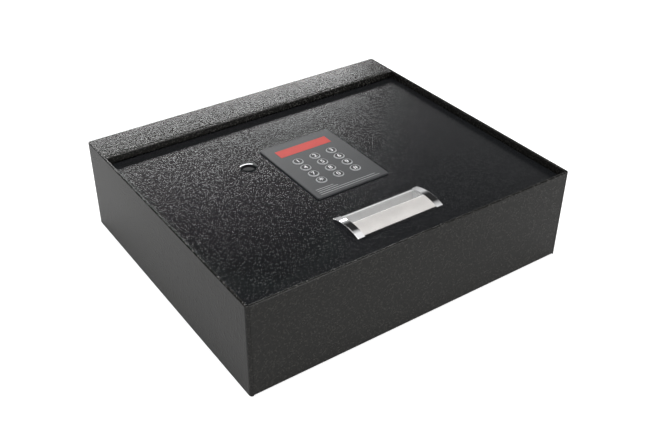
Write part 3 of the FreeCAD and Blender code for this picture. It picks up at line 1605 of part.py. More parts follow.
def gear_motor():
    """The small gear motor: a flattened can, a square gearbox and the bearing boss round the shaft."""
    start = "(pinion_place + pinion_width / 2 + motor_gap)"
    box_end = f"({start} + gearbox_length)"
    side = "(motor_side / 2)"
    gearbox = block(
        "gearbox_block",
        (start, box_end),
        (f"{PINION_Y} - {side}", f"{PINION_Y} + {side}"),
        (f"{PINION_AXIS} - motor_flat / 2", f"{PINION_AXIS} + motor_flat / 2"),
    )
    can = bar("motor_can", "x", (PINION_Y, PINION_AXIS), side, (box_end, f"{box_end} + motor_length"))
    flats = block(
        "motor_flats",
        (box_end, f"{box_end} + motor_length"),
        (f"{PINION_Y} - {side}", f"{PINION_Y} + {side}"),
        (f"{PINION_AXIS} - motor_flat / 2", f"{PINION_AXIS} + motor_flat / 2"),
    )
    tail = bar(
        "motor_tail",
        "x",
        (PINION_Y, PINION_AXIS),
        "motor_side / 4",
        (f"{box_end} + motor_length", f"{box_end} + motor_length + 2"),
    )
    keep("gear_motor", fused("gear_motor_whole", gearbox, shared("motor_body", can, flats), tail))


def motor_bracket():
    """The strap that holds the gearbox to the underside of the lid."""
    start = "(pinion_place + pinion_width / 2 + motor_gap)"
    x = (f"{start} + 1", f"{start} + gearbox_length - 1")
    inner_y = (f"{PINION_Y} - motor_side / 2", f"{PINION_Y} + motor_side / 2")
    outer = block(
        "strap_outer", x, (f"{inner_y[0]} - skin", f"{inner_y[1]} + skin"), (
            f"{PINION_AXIS} - motor_flat / 2 - skin", LID_UNDER
        )
    )
    inner = block(
        "strap_inner", (f"{x[0]} - 1", f"{x[1]} + 1"), inner_y, (
            f"{PINION_AXIS} - motor_flat / 2", f"{LID_UNDER} - skin"
        )
    )
    keep("motor_bracket", carved("motor_bracket_whole", outer, inner))


# Batteries.


def battery_holder():
    """The holder: a roof and four walls, open downwards, with ribs between the cells."""
    roof_low = f"({CELLS_UNDER} + 2 * cell_radius + 0.3)"
    outer = block(
        "holder_outer",
        ("battery_left - holder_wall", f"{BATTERY_RIGHT} + holder_wall"),
        (f"{BATTERY_FRONT} - holder_wall", f"{BATTERY_BACK} + holder_wall"),
        (f"{CASE_BOTTOM} + case_wall", f"{roof_low} + holder_wall"),
    )
    inner = block(
        "holder_inner",
        ("battery_left", BATTERY_RIGHT),
        (BATTERY_FRONT, BATTERY_BACK),
        (f"{CASE_BOTTOM}", roof_low),
    )
    keep("battery_holder", carved("battery_holder_whole", outer, inner))


def battery_cells():
    """Four AA cells side by side, each with its raised end."""
    cells = []
    axis_z = f"({CELLS_UNDER} + cell_radius)"
    for number in range(4):
        x = f"(battery_left + cell_pitch * {number + 0.5})"
        front = f"({BATTERY_FRONT} + 3)"
        can = bar(
            f"cell_can_{number}", "y", (x, axis_z), "cell_radius", (front, f"{front} + cell_length - 1.5")
        )
        nub = bar(
            f"cell_nub_{number}",
            "y",
            (x, axis_z),
            "cell_radius * 0.38",
            (f"{front} + cell_length - 1.5", f"{front} + cell_length"),
        )
        cells.append(fused(f"cell_{number}", can, nub))
    keep("battery_cells", group("battery_cells_set", *cells))


def battery_door():
    """The sliding door over the battery hatch, with finger ribs."""
    x = ("battery_left + 1 - door_overlap", f"{BATTERY_RIGHT} - 1 + door_overlap")
    y = (f"{BATTERY_FRONT} + 1 - door_overlap", f"{BATTERY_BACK} - 1 + door_overlap")
    top = f"({CASE_BOTTOM} - door_gap)"
    plate = block("door_plate", x, y, (f"{top} - door_thick", top))
    ribs = []
    for number in range(3):
        place = f"({x[0]} + 4 + {number} * 3)"
        ribs.append(
            block(
                f"door_rib_{number}",
                (place, f"{place} + 1.2"),
                (
                    f"({BATTERY_FRONT} * 2 + cell_length + 7) / 2 - 12",
                    f"({BATTERY_FRONT} * 2 + cell_length + 7) / 2 + 12",
                ),
                (f"{top} - door_thick - 0.8", f"{top} - door_thick"),
            )
        )
    keep("battery_door", fused("battery_door_whole", plate, *ribs))


def check_and_write():
    """Recompute, refuse anything broken and write one STEP file for each node."""
    doc.recompute()
    broken = [item.Name for item in doc.Objects if {"Invalid", "Error"} & set(item.State)]
    if broken:
        raise ValueError(f"failed objects: {broken}")
    os.makedirs("parts", exist_ok=True)
    for node, item in nodes.items():
        shape = item.Shape
        if shape.isNull() or not shape.isValid() or not shape.Solids:
            raise ValueError(f"{node} is not a valid solid")
        shape.exportStep(os.path.join("parts", f"{node}.step"))
        print(f"{node}: {len(shape.Solids)} solid(s), {shape.Volume:.1f} mm3")


base_tray()
side_panels()
rear_rail()
rear_cover()
strike_channel()
lid_bumpers()
floor_mat()
hinge_arms()
hinge_rod()
rod_clips()
lid_lugs()
torsion_springs()
lid_plate()
keypad_fascia()
display_window()
keys()
keypad_board()
key_mat()
display_module()
lock_plug()
lock_housing()
lock_screws()
lock_core()
lock_cam()
handle_bezel()
handle_nuts()
handle_hood()
handle_cup()
mechanism_cover()
cover_screws()
lock_bolts()
bolt_guides()
bolt_carrier()
guide_posts()
drive_rack()
drive_pinion()
output_shaft()
gear_motor()
motor_bracket()
battery_holder()
battery_cells()
battery_door()
check_and_write()
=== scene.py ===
# Looks of a flat gun safe, in metres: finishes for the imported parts, key prints, springs, mat, marks,
# light and camera.

import json
import logging
import math
from dataclasses import dataclass, field
from enum import Enum
from typing import Any, Dict, Iterable, List, Mapping, Optional, Protocol, Sequence, Tuple

import bmesh
import bpy
from mathutils import Matrix, Vector

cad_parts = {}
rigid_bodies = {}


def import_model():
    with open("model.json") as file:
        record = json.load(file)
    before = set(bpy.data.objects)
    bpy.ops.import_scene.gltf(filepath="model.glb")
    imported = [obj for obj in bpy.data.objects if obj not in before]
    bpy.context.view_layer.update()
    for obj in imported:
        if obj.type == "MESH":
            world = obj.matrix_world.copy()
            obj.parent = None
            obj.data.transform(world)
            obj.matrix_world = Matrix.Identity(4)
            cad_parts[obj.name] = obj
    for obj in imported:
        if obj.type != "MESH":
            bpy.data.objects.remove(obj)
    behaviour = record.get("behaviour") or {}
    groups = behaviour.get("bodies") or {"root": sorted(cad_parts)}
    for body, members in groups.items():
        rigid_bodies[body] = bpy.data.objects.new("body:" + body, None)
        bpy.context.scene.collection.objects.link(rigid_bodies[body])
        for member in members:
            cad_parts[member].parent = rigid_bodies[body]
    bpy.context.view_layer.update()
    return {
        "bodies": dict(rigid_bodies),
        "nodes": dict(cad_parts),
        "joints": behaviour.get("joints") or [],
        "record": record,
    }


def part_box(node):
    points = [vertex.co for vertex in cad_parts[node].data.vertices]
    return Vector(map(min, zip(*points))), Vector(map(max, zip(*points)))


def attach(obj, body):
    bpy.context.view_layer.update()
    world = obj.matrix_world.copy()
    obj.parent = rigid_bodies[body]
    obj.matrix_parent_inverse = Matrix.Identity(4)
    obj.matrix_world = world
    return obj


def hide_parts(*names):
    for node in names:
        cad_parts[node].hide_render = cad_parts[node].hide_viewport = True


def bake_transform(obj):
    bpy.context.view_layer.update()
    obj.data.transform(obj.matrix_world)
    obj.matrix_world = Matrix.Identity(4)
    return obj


logging.basicConfig(level=logging.INFO, format="%(message)s")
LOG = logging.getLogger("gun_safe")

MM = 0.001
QUARTER = math.pi / 2
FULL_TURN = 2 * math.pi
Colour = Tuple[float, float, float]
Point = Tuple[float, float]


class Axis(Enum):
    """How a worked surface is stretched along X, Y and Z, named for the direction of its lines."""

    X = (1.0, 30.0, 30.0)
    NONE = (1.0, 1.0, 1.0)


class Mark(Enum):
    """Small marks that repeat on the metalwork."""

    WELD = "weld"
    # CROSS: dark crosses on the cover's screws, painted shade of their recesses.
    CROSS = "cross"


class Signal:
    """A shader socket that takes part in arithmetic."""

    def __init__(self, bench: "NodeBench", socket: bpy.types.NodeSocket) -> None:
        """Wraps an output socket of a tree."""
        self.bench = bench
        self.socket = socket

    def _math(self, operation: str, first: Any, second: Any = 0.0, third: Any = 0.0) -> "Signal":
        """The result of a new Math node on up to three numbers or signals."""
        node = self.bench.node("ShaderNodeMath", {"operation": operation}, {0: first, 1: second, 2: third})
        return Signal(self.bench, node.outputs[0])

    def __add__(self, other: Any) -> "Signal":
        """Sum."""
        return self._math("ADD", self, other)

    def __radd__(self, other: Any) -> "Signal":
        """Sum with a number on the left."""
        return self._math("ADD", other, self)

    def __sub__(self, other: Any) -> "Signal":
        """Difference."""
        return self._math("SUBTRACT", self, other)

    def __rsub__(self, other: Any) -> "Signal":
        """Difference with a number on the left."""
        return self._math("SUBTRACT", other, self)

    def __mul__(self, other: Any) -> "Signal":
        """Product."""
        return self._math("MULTIPLY", self, other)

    def __rmul__(self, other: Any) -> "Signal":
        """Product with a number on the left."""
        return self._math("MULTIPLY", other, self)

    def __truediv__(self, other: Any) -> "Signal":
        """Quotient."""
        return self._math("DIVIDE", self, other)

    def __rtruediv__(self, other: Any) -> "Signal":
        """Quotient with a number on the left."""
        return self._math("DIVIDE", other, self)

    def largest(self, other: Any) -> "Signal":
        """The larger of two values."""
        return self._math("MAXIMUM", self, other)

    def folded(self, half: float) -> "Signal":
        """The value folded into a span that repeats, from -half to half."""
        return self._math("WRAP", self, half, -half)

    def root(self) -> "Signal":
        """Square root."""
        return self._math("SQRT", self)

    def step(self, low: float, high: float) -> "Signal":
        """Runs smoothly from 0 at low to 1 at high.

        Args:
            low: the value that gives 0.
            high: the value that gives 1.

        Returns:
            The eased value.
        """
        settings = {"interpolation_type": "SMOOTHSTEP"}
        node = self.bench.node("ShaderNodeMapRange", settings, {0: self, 1: low, 2: high, 3: 0.0, 4: 1.0})
        return Signal(self.bench, node.outputs[0])


class NodeBench:
    """A node tree in the making: a material's, the world's or a Geometry Nodes tree."""

    def __init__(self, tree: bpy.types.NodeTree) -> None:
        """Empties a tree and keeps it."""
        self.tree = tree
        self.tree.nodes.clear()

    def node(self, kind: str, settings: Mapping[str, Any], values: Mapping[Any, Any]) -> bpy.types.Node:
        """Adds any node.

        Args:
            kind: the node's type name.
            settings: its properties, and a ramp's grey stops under "stops", all set first.
            values: numbers, colours, sockets or signals for its inputs, by name or place.

        Returns:
            The node.
        """
        made = self.tree.nodes.new(kind)
        for name, setting in settings.items():
            if name == "stops":
                self._set_stops(made.color_ramp.elements, setting)
            else:
                setattr(made, name, setting)
        for name, value in values.items():
            self.feed(made.inputs[name], value)
        return made

    def feed(self, socket: bpy.types.NodeSocket, value: Any) -> None:
        """Links a signal or a socket to an input, or sets a plain value on it.

        Args:
            socket: the input.
            value: a number, colour, socket or signal.
        """
        source = value.socket if isinstance(value, Signal) else value
        if isinstance(source, bpy.types.NodeSocket):
            self.tree.links.new(source, socket)
        elif socket.type == "RGBA":
            socket.default_value = (*source, 1.0)
        else:
            socket.default_value = source

    def _set_stops(self, elements: bpy.types.ColorRampElements, stops: Sequence[Point]) -> None:
        """Sets a ramp's grey stops.

        Args:
            elements: the ramp's stops.
            stops: each stop's place and grey.
        """
        while len(elements) < len(stops):
            elements.new(0.5)
        for element, (place, grey) in zip(elements, stops):
            element.position = place
            element.color = (grey, grey, grey, 1.0)


class Recipe(NodeBench):
    """One material in the making: a Principled shader and the nodes that feed it."""

    def __init__(self, name: str) -> None:
        """Starts a material.

        Args:
            name: the material's name.
        """
        self.material = bpy.data.materials.new(name)
        self.material.use_nodes = True
        super().__init__(self.material.node_tree)
        self.shader = self.node("ShaderNodeBsdfPrincipled", {}, {})
        self.output = self.node("ShaderNodeOutputMaterial", {}, {"Surface": self.shader.outputs[0]})
        self.place = self.node("ShaderNodeTexCoord", {}, {}).outputs["Object"]

    def stretched(self, scale: Tuple[float, float, float]) -> bpy.types.NodeSocket:
        """The object coordinates, scaled on each axis."""
        return self.node("ShaderNodeMapping", {}, {"Vector": self.place, "Scale": scale}).outputs[0]

    def coordinate(self, letter: int) -> Signal:
        """One of the object coordinates, by its place in XYZ."""
        return Signal(self, self.node("ShaderNodeSeparateXYZ", {}, {0: self.place}).outputs[letter])

    def noise(self, scale: float, detail: float, rough: float, vector: Optional[Any] = None) -> Signal:
        """A cloud pattern from 0 to 1, scale features to a metre, on object coordinates unless given."""
        values = {"Vector": vector or self.place, "Scale": scale, "Detail": detail, "Roughness": rough}
        return Signal(self, self.node("ShaderNodeTexNoise", {}, values).outputs[0])

    def cells(self, scale: float) -> Signal:
        """Distance to the nearest of scattered points, of which there are so many per metre."""
        made = self.node("ShaderNodeTexVoronoi", {"feature": "F1"}, {"Vector": self.place, "Scale": scale})
        return Signal(self, made.outputs["Distance"])

    def mixed(self, factor: Any, first: Any, second: Any) -> bpy.types.NodeSocket:
        """The first colour where the factor is 0, turning into the second at 1."""
        made = self.node("ShaderNodeMix", {"data_type": "RGBA"}, {0: factor, 6: first, 7: second})
        return made.outputs[2]

    def bump(self, height: Signal, strength: float, distance: float) -> bpy.types.NodeSocket:
        """The normal of a relief that stands a distance high where the height is 1."""
        values = {"Strength": strength, "Distance": distance, "Height": height}
        return self.node("ShaderNodeBump", {}, values).outputs[0]

    def finish(self, **inputs: Any) -> bpy.types.Material:
        """Feeds the shader and gives the material.

        Args:
            **inputs: the shader's inputs, with underscores for spaces.

        Returns:
            The finished material.
        """
        for name, value in inputs.items():
            self.feed(self.shader.inputs[name.replace("_", " ")], value)
        return self.material


def shaded(colour: Colour, factor: float, lift: float = 0.0) -> Colour:
    """A lighter or darker tone of a colour.

    Args:
        colour: the colour.
        factor: what each channel is multiplied by.
        lift: what is then added to it.

    Returns:
        The tone, with no channel over 1.
    """
    red, green, blue = (min(1.0, channel * factor + lift) for channel in colour)
    return red, green, blue


class Finish(Protocol):
    """What every finish offers: a name and the making of its material."""

    name: str

    def build(self) -> bpy.types.Material:
        """Makes the material."""


@dataclass(frozen=True)
class PowderCoat:
    """Black powder coat that dried to a fine, pebbled skin.

    Raised grains in a paler colour stand in patches. sparse is how much of the skin is left plain, and
    shine is the strength of its gloss.
    """

    name: str
    colour: Colour = (0.0100, 0.0098, 0.0090)
    grain_colour: Colour = (0.040, 0.038, 0.033)
    grain: float = 2.3 * MM
    sparse: float = 0.38
    relief: float = 0.24 * MM
    rough: float = 0.15
    shine: float = 0.36
    patches_per_grain: float = 0.55
    specks_per_grain: float = 1.6
    patch_edge: float = 0.16
    grain_share: float = 0.85

    def build(self) -> bpy.types.Material:
        """Makes the material.

        Returns:
            The pebbled coat.
        """
        r = Recipe(self.name)
        pebbles = 1 - r.cells(1 / self.grain).step(low=0.05, high=0.55)
        patches = r.noise(self.patches_per_grain / self.grain, detail=3.0, rough=0.7)
        grains = pebbles * patches.step(self.sparse, self.sparse + self.patch_edge)
        specks = r.noise(self.specks_per_grain / self.grain, detail=2.0, rough=0.6)
        share = grains * self.grain_share
        return r.finish(
            Base_Color=r.mixed(share + specks * (1 - self.grain_share), self.colour, self.grain_colour),
            Roughness=self.rough + (specks - 0.5) * 0.16,
            Normal=r.bump(share + specks * 0.3, strength=0.9, distance=self.relief),
            Specular_IOR_Level=self.shine,
        )


@dataclass(frozen=True)
class WorkedMetal:
    """Plated, turned or brushed metal with faint lines and clouding.

    brushed is the direction of the lines, and line is how many there are in a metre.
    """

    name: str
    colour: Colour
    rough: float
    brushed: Axis = Axis.NONE
    line: float = 260.0
    relief: float = 0.012 * MM
    metal: float = 1.0
    clouds: float = 38.0
    dull: float = 0.78

    def build(self) -> bpy.types.Material:
        """Makes the material.

        Returns:
            The metal.
        """
        r = Recipe(self.name)
        lines = r.noise(self.line, detail=4.0, rough=0.7, vector=r.stretched(self.brushed.value))
        cloud = r.noise(self.clouds, detail=3.0, rough=0.55)
        tone = (lines * 0.6 + cloud * 0.4).step(low=0.3, high=0.7)
        return r.finish(
            Base_Color=r.mixed(tone, shaded(self.colour, self.dull), self.colour),
            Metallic=self.metal,
            Roughness=self.rough * (0.72 + lines * 0.35 + cloud * 0.2),
            Normal=r.bump(lines, strength=0.5, distance=self.relief),
        )


@dataclass(frozen=True)
class Chrome:
    """Bright plating with only the faintest haze."""

    name: str
    colour: Colour = (0.88, 0.88, 0.89)
    rough: float = 0.045
    clouds: float = 55.0
    haze: float = 0.05

    def build(self) -> bpy.types.Material:
        """Makes the material.

        Returns:
            The plating.
        """
        r = Recipe(self.name)
        cloud = r.noise(self.clouds, detail=3.0, rough=0.6).step(low=0.5, high=0.85)
        return r.finish(Base_Color=self.colour, Metallic=1.0, Roughness=self.rough + cloud * self.haze)


@dataclass(frozen=True)
class Moulded:
    """Moulded plastic, rubber or paint with a fine even skin.

    grain is the size of the skin's grains, and coat is the strength of a clear gloss over it.
    """

    name: str
    colour: Colour
    rough: float = 0.45
    grain: float = 0.5 * MM
    relief: float = 0.01 * MM
    coat: float = 0.0
    coat_rough: float = 0.06
    clouds: float = 26.0

    def build(self) -> bpy.types.Material:
        """Makes the material.

        Returns:
            The moulded skin.
        """
        r = Recipe(self.name)
        skin = r.noise(1 / self.grain, detail=2.0, rough=0.6)
        cloud = r.noise(self.clouds, detail=3.0, rough=0.5)
        tone = (skin * 0.5 + cloud * 0.5).step(low=0.3, high=0.75)
        return r.finish(
            Base_Color=r.mixed(tone, self.colour, shaded(self.colour, 1.25, lift=0.002)),
            Roughness=self.rough * (0.85 + cloud * 0.3),
            Coat_Weight=self.coat,
            Coat_Roughness=self.coat_rough,
            Normal=r.bump(skin, strength=0.5, distance=self.relief),
        )


@dataclass(frozen=True)
class KeyFace:
    """A dark round key with a pale ring at its edge, a painted highlight of the key's rim, found from the
    keys' grid.

    columns and rows are the keys' pitch, first_row is the place of the row of key 1 along Y, and ring is
    the radius from which the ring is at its full strength.
    """

    name: str
    columns: float
    rows: float
    first_row: float
    ring: float
    ring_edge: float = 0.35 * MM
    colour: Colour = (0.014, 0.0145, 0.016)
    pale: Colour = (0.46, 0.47, 0.48)
    grains: float = 2200.0
    wear: float = 300.0

    def build(self) -> bpy.types.Material:
        """Makes the material.

        Returns:
            The key's face with its painted highlight ring.
        """
        r = Recipe(self.name)
        across = r.coordinate(0).folded(self.columns / 2)
        along = (r.coordinate(1) - self.first_row).folded(self.rows / 2)
        radius = (across * across + along * along).root()
        skin = r.noise(self.grains, detail=2.0, rough=0.6)
        # The pale ring is painted highlight of the key's rim, made patchy at random; the disc inside keeps
        # the key's dark colour.
        ring_patches = r.noise(self.wear, detail=3.0, rough=0.6).step(low=0.35, high=0.7)
        edge = r.mixed(ring_patches, self.pale, shaded(self.pale, 0.75))
        return r.finish(
            Base_Color=r.mixed(radius.step(self.ring - self.ring_edge, self.ring), self.colour, edge),
            Roughness=0.34 + skin * 0.12,
            Normal=r.bump(skin, strength=0.4, distance=0.008 * MM),
        )


@dataclass(frozen=True)
class RedWindow:
    """A clear red cover over an unlit display, moulded with a fine diffusing back."""

    name: str
    colour: Colour = (0.60, 0.05, 0.038)
    rib_count: float = 900.0
    rib_stretch: Tuple[float, float, float] = (1.0, 6.0, 1.0)
    clouds: float = 45.0
    shine: float = 0.3

    def build(self) -> bpy.types.Material:
        """Makes the material.

        Returns:
            The red cover.
        """
        r = Recipe(self.name)
        ribs = r.noise(self.rib_count, detail=1.0, rough=0.4, vector=r.stretched(self.rib_stretch))
        cloud = r.noise(self.clouds, detail=2.0, rough=0.5)
        tone = (ribs * 0.4 + cloud * 0.6).step(low=0.3, high=0.7)
        return r.finish(
            Base_Color=r.mixed(tone, shaded(self.colour, 0.82), self.colour),
            Roughness=0.36 + cloud * 0.08,
            Specular_IOR_Level=self.shine,
            Normal=r.bump(ribs, strength=0.3, distance=0.006 * MM),
        )


@dataclass(frozen=True)
class Circuit:
    """Solder mask over copper tracks, which run in lanes and are broken here and there."""

    name: str
    mask: Colour = (0.012, 0.085, 0.035)
    track: Colour = (0.03, 0.17, 0.06)
    half_lane: float = 0.9 * MM
    track_core: float = 0.22 * MM
    track_edge: float = 0.34 * MM
    wander: float = 6.0 * MM

    def build(self) -> bpy.types.Material:
        """Makes the material.

        Returns:
            The circuit board.
        """
        r = Recipe(self.name)
        lanes = (r.coordinate(0) + r.cells(70.0) * self.wander).folded(self.half_lane)
        line = 1 - (lanes * lanes).root().step(self.track_core, self.track_edge)
        tracks = line * r.noise(60.0, detail=1.0, rough=0.4).step(low=0.46, high=0.52)
        return r.finish(
            Base_Color=r.mixed(tracks, self.mask, self.track),
            Roughness=0.32 + tracks * 0.1,
            Normal=r.bump(tracks, strength=0.6, distance=0.02 * MM),
        )


@dataclass(frozen=True)
class CellWrap:
    """A two-colour sleeve on a dry cell that lies from low to high along Y, pale at its raised end."""

    name: str
    low: float
    high: float
    body: Colour = (0.02, 0.05, 0.16)
    end: Colour = (0.62, 0.60, 0.56)
    scuffs: float = 240.0

    def build(self) -> bpy.types.Material:
        """Makes the material.

        Returns:
            The sleeve.
        """
        r = Recipe(self.name)
        band = ((r.coordinate(1) - self.low) / (self.high - self.low)).step(low=0.74, high=0.76)
        scuff = r.noise(self.scuffs, detail=3.0, rough=0.6)
        body = r.mixed(scuff.step(low=0.4, high=0.7), self.body, shaded(self.body, 0.8, lift=0.01))
        return r.finish(
            Base_Color=r.mixed(band, body, self.end),
            Roughness=0.28 + scuff * 0.15,
            Normal=r.bump(scuff, strength=0.3, distance=0.01 * MM),
        )


@dataclass(frozen=True)
class FoamSkin:
    """Closed-cell foam with a pebbled skin."""

    name: str
    colour: Colour = (0.022, 0.022, 0.024)
    rough: float = 0.86
    relief: float = 0.22 * MM

    def build(self) -> bpy.types.Material:
        """Makes the material.

        Returns:
            The foam.
        """
        r = Recipe(self.name)
        cells = r.cells(620.0)
        dents = r.noise(120.0, detail=3.0, rough=0.55)
        return r.finish(
            Base_Color=r.mixed(cells.step(low=0.2, high=0.75), self.colour, shaded(self.colour, 2.2)),
            Roughness=self.rough,
            Normal=r.bump(cells * 0.8 + dents * 0.6, strength=0.8, distance=self.relief),
        )


class Workshop:
    """Small services that every sub-assembly uses: dressing nodes and making meshes."""

    def __init__(self, frame: Mapping[str, Any]) -> None:
        """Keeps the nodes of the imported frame, and starts with no material made."""
        self.nodes: Dict[str, bpy.types.Object] = frame["nodes"]
        self.built: Dict[str, bpy.types.Material] = {}

    def paint(self, mesh: bpy.types.Mesh, finish: Finish) -> None:
        """Gives a mesh one finish."""
        mesh.materials.clear()
        mesh.materials.append(self.material(finish))

    def material(self, finish: Finish) -> bpy.types.Material:
        """The finish's material, made once.

        Args:
            finish: the finish.

        Returns:
            Its material.
        """
        if finish.name not in self.built:
            self.built[finish.name] = finish.build()
        return self.built[finish.name]

    def dress(self, names: Iterable[str], finish: Finish) -> None:
        """Gives CAD nodes a finish.

        Args:
            names: the nodes.
            finish: what they are finished with.
        """
        for name in names:
            self.paint(self.nodes[name].data, finish)
        LOG.info("dressed %s in %s", ", ".join(names), finish.name)

    def link(self, name: str, mesh: bpy.types.Mesh, finish: Finish) -> bpy.types.Object:
        """Puts a mesh in the scene with its finish.

        Args:
            name: the piece's name.
            mesh: its mesh, already in place.
            finish: its finish.

        Returns:
            The piece.
        """
        self.paint(mesh, finish)
        piece = bpy.data.objects.new(name, mesh)
        bpy.context.scene.collection.objects.link(piece)
        LOG.info("made %s with %d faces", name, len(mesh.polygons))
        return piece

    def place(
        self, name: str, mesh: bpy.types.Mesh, finish: Finish, body: str, slot: str
    ) -> bpy.types.Object:
        """Puts a mesh in the scene, riding on a body.

        Args:
            name: the piece's name.
            mesh: its mesh, already in place.
            finish: its finish.
            body: the CAD body that it rides on.
            slot: the record's material slot; not used.

        Returns:
            The piece.
        """
        piece = self.link(name, mesh, finish)
        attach(piece, body)
        return piece


def settled(holder: bpy.types.Object, matrix: Matrix) -> bpy.types.Mesh:
    """Turns a holder's evaluated geometry into a plain mesh, in place, and removes the holder.

    Args:
        holder: the object, already in the scene.
        matrix: where its mesh goes.

    Returns:
        The mesh.
    """
    ready = holder.evaluated_get(bpy.context.evaluated_depsgraph_get())
    mesh = bpy.data.meshes.new_from_object(ready)
    holder.modifiers.clear()
    bpy.data.objects.remove(holder)
    mesh.transform(matrix)
    return mesh


def held(data: bpy.types.ID) -> bpy.types.Object:
    """Puts a mesh or curve in the scene for a moment.

    Args:
        data: the mesh or curve.

    Returns:
        The holder.
    """
    holder = bpy.data.objects.new("holder", data)
    bpy.context.scene.collection.objects.link(holder)
    return holder


def arc(centre: Point, radius: float, start: float, sweep: float, steps: int) -> List[Point]:
    """Points along an arc, both of its ends among them.

    Args:
        centre: the arc's centre.
        radius: its radius.
        start: the angle at which it starts.
        sweep: the angle that it covers.
        steps: how many straight steps it has.

    Returns:
        The points.
    """
    turns = [start + sweep * step / steps for step in range(steps + 1)]
    return [(centre[0] + radius * math.cos(turn), centre[1] + radius * math.sin(turn)) for turn in turns]


def tube(name: str, path: Sequence[Vector], radius: float, sides: int) -> bpy.types.Mesh:
    """A closed round tube along a path.

    Args:
        name: the mesh's name.
        path: the points of its centre line.
        radius: the tube's radius.
        sides: faces round it.

    Returns:
        The mesh.
    """
    built = bmesh.new()
    rings: List[List[bmesh.types.BMVert]] = []
    side = (path[1] - path[0]).orthogonal().normalized()
    for number, point in enumerate(path):
        before = path[max(0, number - 1)]
        after = path[min(len(path) - 1, number + 1)]
        ahead = (after - before).normalized()
        side = (side - ahead * side.dot(ahead)).normalized()
        other = ahead.cross(side)
        ring = []
        for step in range(sides):
            turn = FULL_TURN * step / sides
            ring.append(built.verts.new(point + (side * math.cos(turn) + other * math.sin(turn)) * radius))
        rings.append(ring)
    for first, second in zip(rings, rings[1:]):
        for step in range(sides):
            after_step = (step + 1) % sides
            built.faces.new((first[step], first[after_step], second[after_step], second[step]))
    built.faces.new(list(reversed(rings[0])))
    built.faces.new(rings[-1])
    bmesh.ops.recalc_face_normals(built, faces=built.faces)
    mesh = bpy.data.meshes.new(name)
    built.to_mesh(mesh)
    built.free()
    mesh.polygons.foreach_set("use_smooth", [len(face.vertices) == 4 for face in mesh.polygons])
    return mesh


@dataclass(frozen=True)
class Grid:
    """How marks are set out: how many along X and Y, the field's width and depth, and a mark's size."""

    columns: int = 1
    rows: int = 1
    width: float = 0.0
    depth: float = 0.0
    size: float = 1.0 * MM


class MarkTree(NodeBench):
    """A Geometry Nodes tree that sets small marks out on a grid, each turned a little by chance."""

    WELD = {"Vertices": 14, "Radius Top": 0.36, "Radius Bottom": 0.5, "Depth": 0.06}
    CROSS_BARS = ((1.0, 0.24, 0.08), (0.24, 1.0, 0.08))
    LARGEST_TURN = 1.5
    SEED = 7
    INPUTS = {
        "Columns": "NodeSocketInt",
        "Rows": "NodeSocketInt",
        "Width": "NodeSocketFloat",
        "Depth": "NodeSocketFloat",
        "Size": "NodeSocketFloat",
        "Seed": "NodeSocketInt",
    }

    def __init__(self, mark: Mark, material: bpy.types.Material) -> None:
        """Builds the tree.

        Args:
            mark: the shape that repeats.
            material: what the marks are made of.
        """
        super().__init__(bpy.data.node_groups.new(f"{mark.value}_grid", "GeometryNodeTree"))
        face = self.tree.interface
        face.new_socket("Geometry", in_out="INPUT", socket_type="NodeSocketGeometry")
        face.new_socket("Geometry", in_out="OUTPUT", socket_type="NodeSocketGeometry")
        self.keys: Dict[str, str] = {}
        for name, kind in self.INPUTS.items():
            self.keys[name] = face.new_socket(name, in_out="INPUT", socket_type=kind).identifier
        entry = self.node("NodeGroupInput", {}, {}).outputs
        sizes = {"Size X": entry["Width"], "Size Y": entry["Depth"]}
        counts = {"Vertices X": entry["Columns"], "Vertices Y": entry["Rows"]}
        grid = self.node("GeometryNodeMeshGrid", {}, {**sizes, **counts})
        points = self.node("GeometryNodeMeshToPoints", {}, {"Mesh": grid.outputs[0]})
        span = {0: (0.0, 0.0, 0.0), 1: (0.0, 0.0, self.LARGEST_TURN), "Seed": entry["Seed"]}
        turn = self.node("FunctionNodeRandomValue", {"data_type": "FLOAT_VECTOR"}, span)
        shape = self._weld() if mark is Mark.WELD else self._cross()
        marks = {"Instance": shape, "Rotation": turn.outputs[0], "Scale": entry["Size"]}
        spread = self.node("GeometryNodeInstanceOnPoints", {}, {"Points": points.outputs[0], **marks})
        solid = self.node("GeometryNodeRealizeInstances", {}, {0: spread.outputs[0]})
        coat = {"Geometry": solid.outputs[0], "Material": material}
        painted = self.node("GeometryNodeSetMaterial", {}, coat)
        self.node("NodeGroupOutput", {}, {0: painted.outputs[0]})

    def _weld(self) -> bpy.types.NodeSocket:
        """A low flat-topped button, one unit across."""
        return self.node("GeometryNodeMeshCone", {}, self.WELD).outputs[0]

    def _cross(self) -> bpy.types.NodeSocket:
        """Two crossed bars, one unit long.

        Returns:
            The cross.
        """
        bars = [self.node("GeometryNodeMeshCube", {}, {"Size": size}) for size in self.CROSS_BARS]
        joined = self.node("GeometryNodeJoinGeometry", {}, {})
        for bar in bars:
            self.feed(joined.inputs[0], bar.outputs[0])
        return joined.outputs[0]

    def mesh(self, grid: Grid, matrix: Matrix) -> bpy.types.Mesh:
        """Evaluates the tree to a plain mesh.

        Args:
            grid: how the marks are set out.
            matrix: where the grid goes.

        Returns:
            The mesh, in place.
        """
        holder = held(bpy.data.meshes.new("holder"))
        modifier = holder.modifiers.new("marks", "NODES")
        modifier.node_group = self.tree
        numbers = {
            "Columns": grid.columns,
            "Rows": grid.rows,
            "Width": grid.width,
            "Depth": grid.depth,
            "Size": grid.size,
            "Seed": self.SEED,
        }
        for name, number in numbers.items():
            modifier[self.keys[name]] = number
        holder.update_tag()
        return settled(holder, matrix)


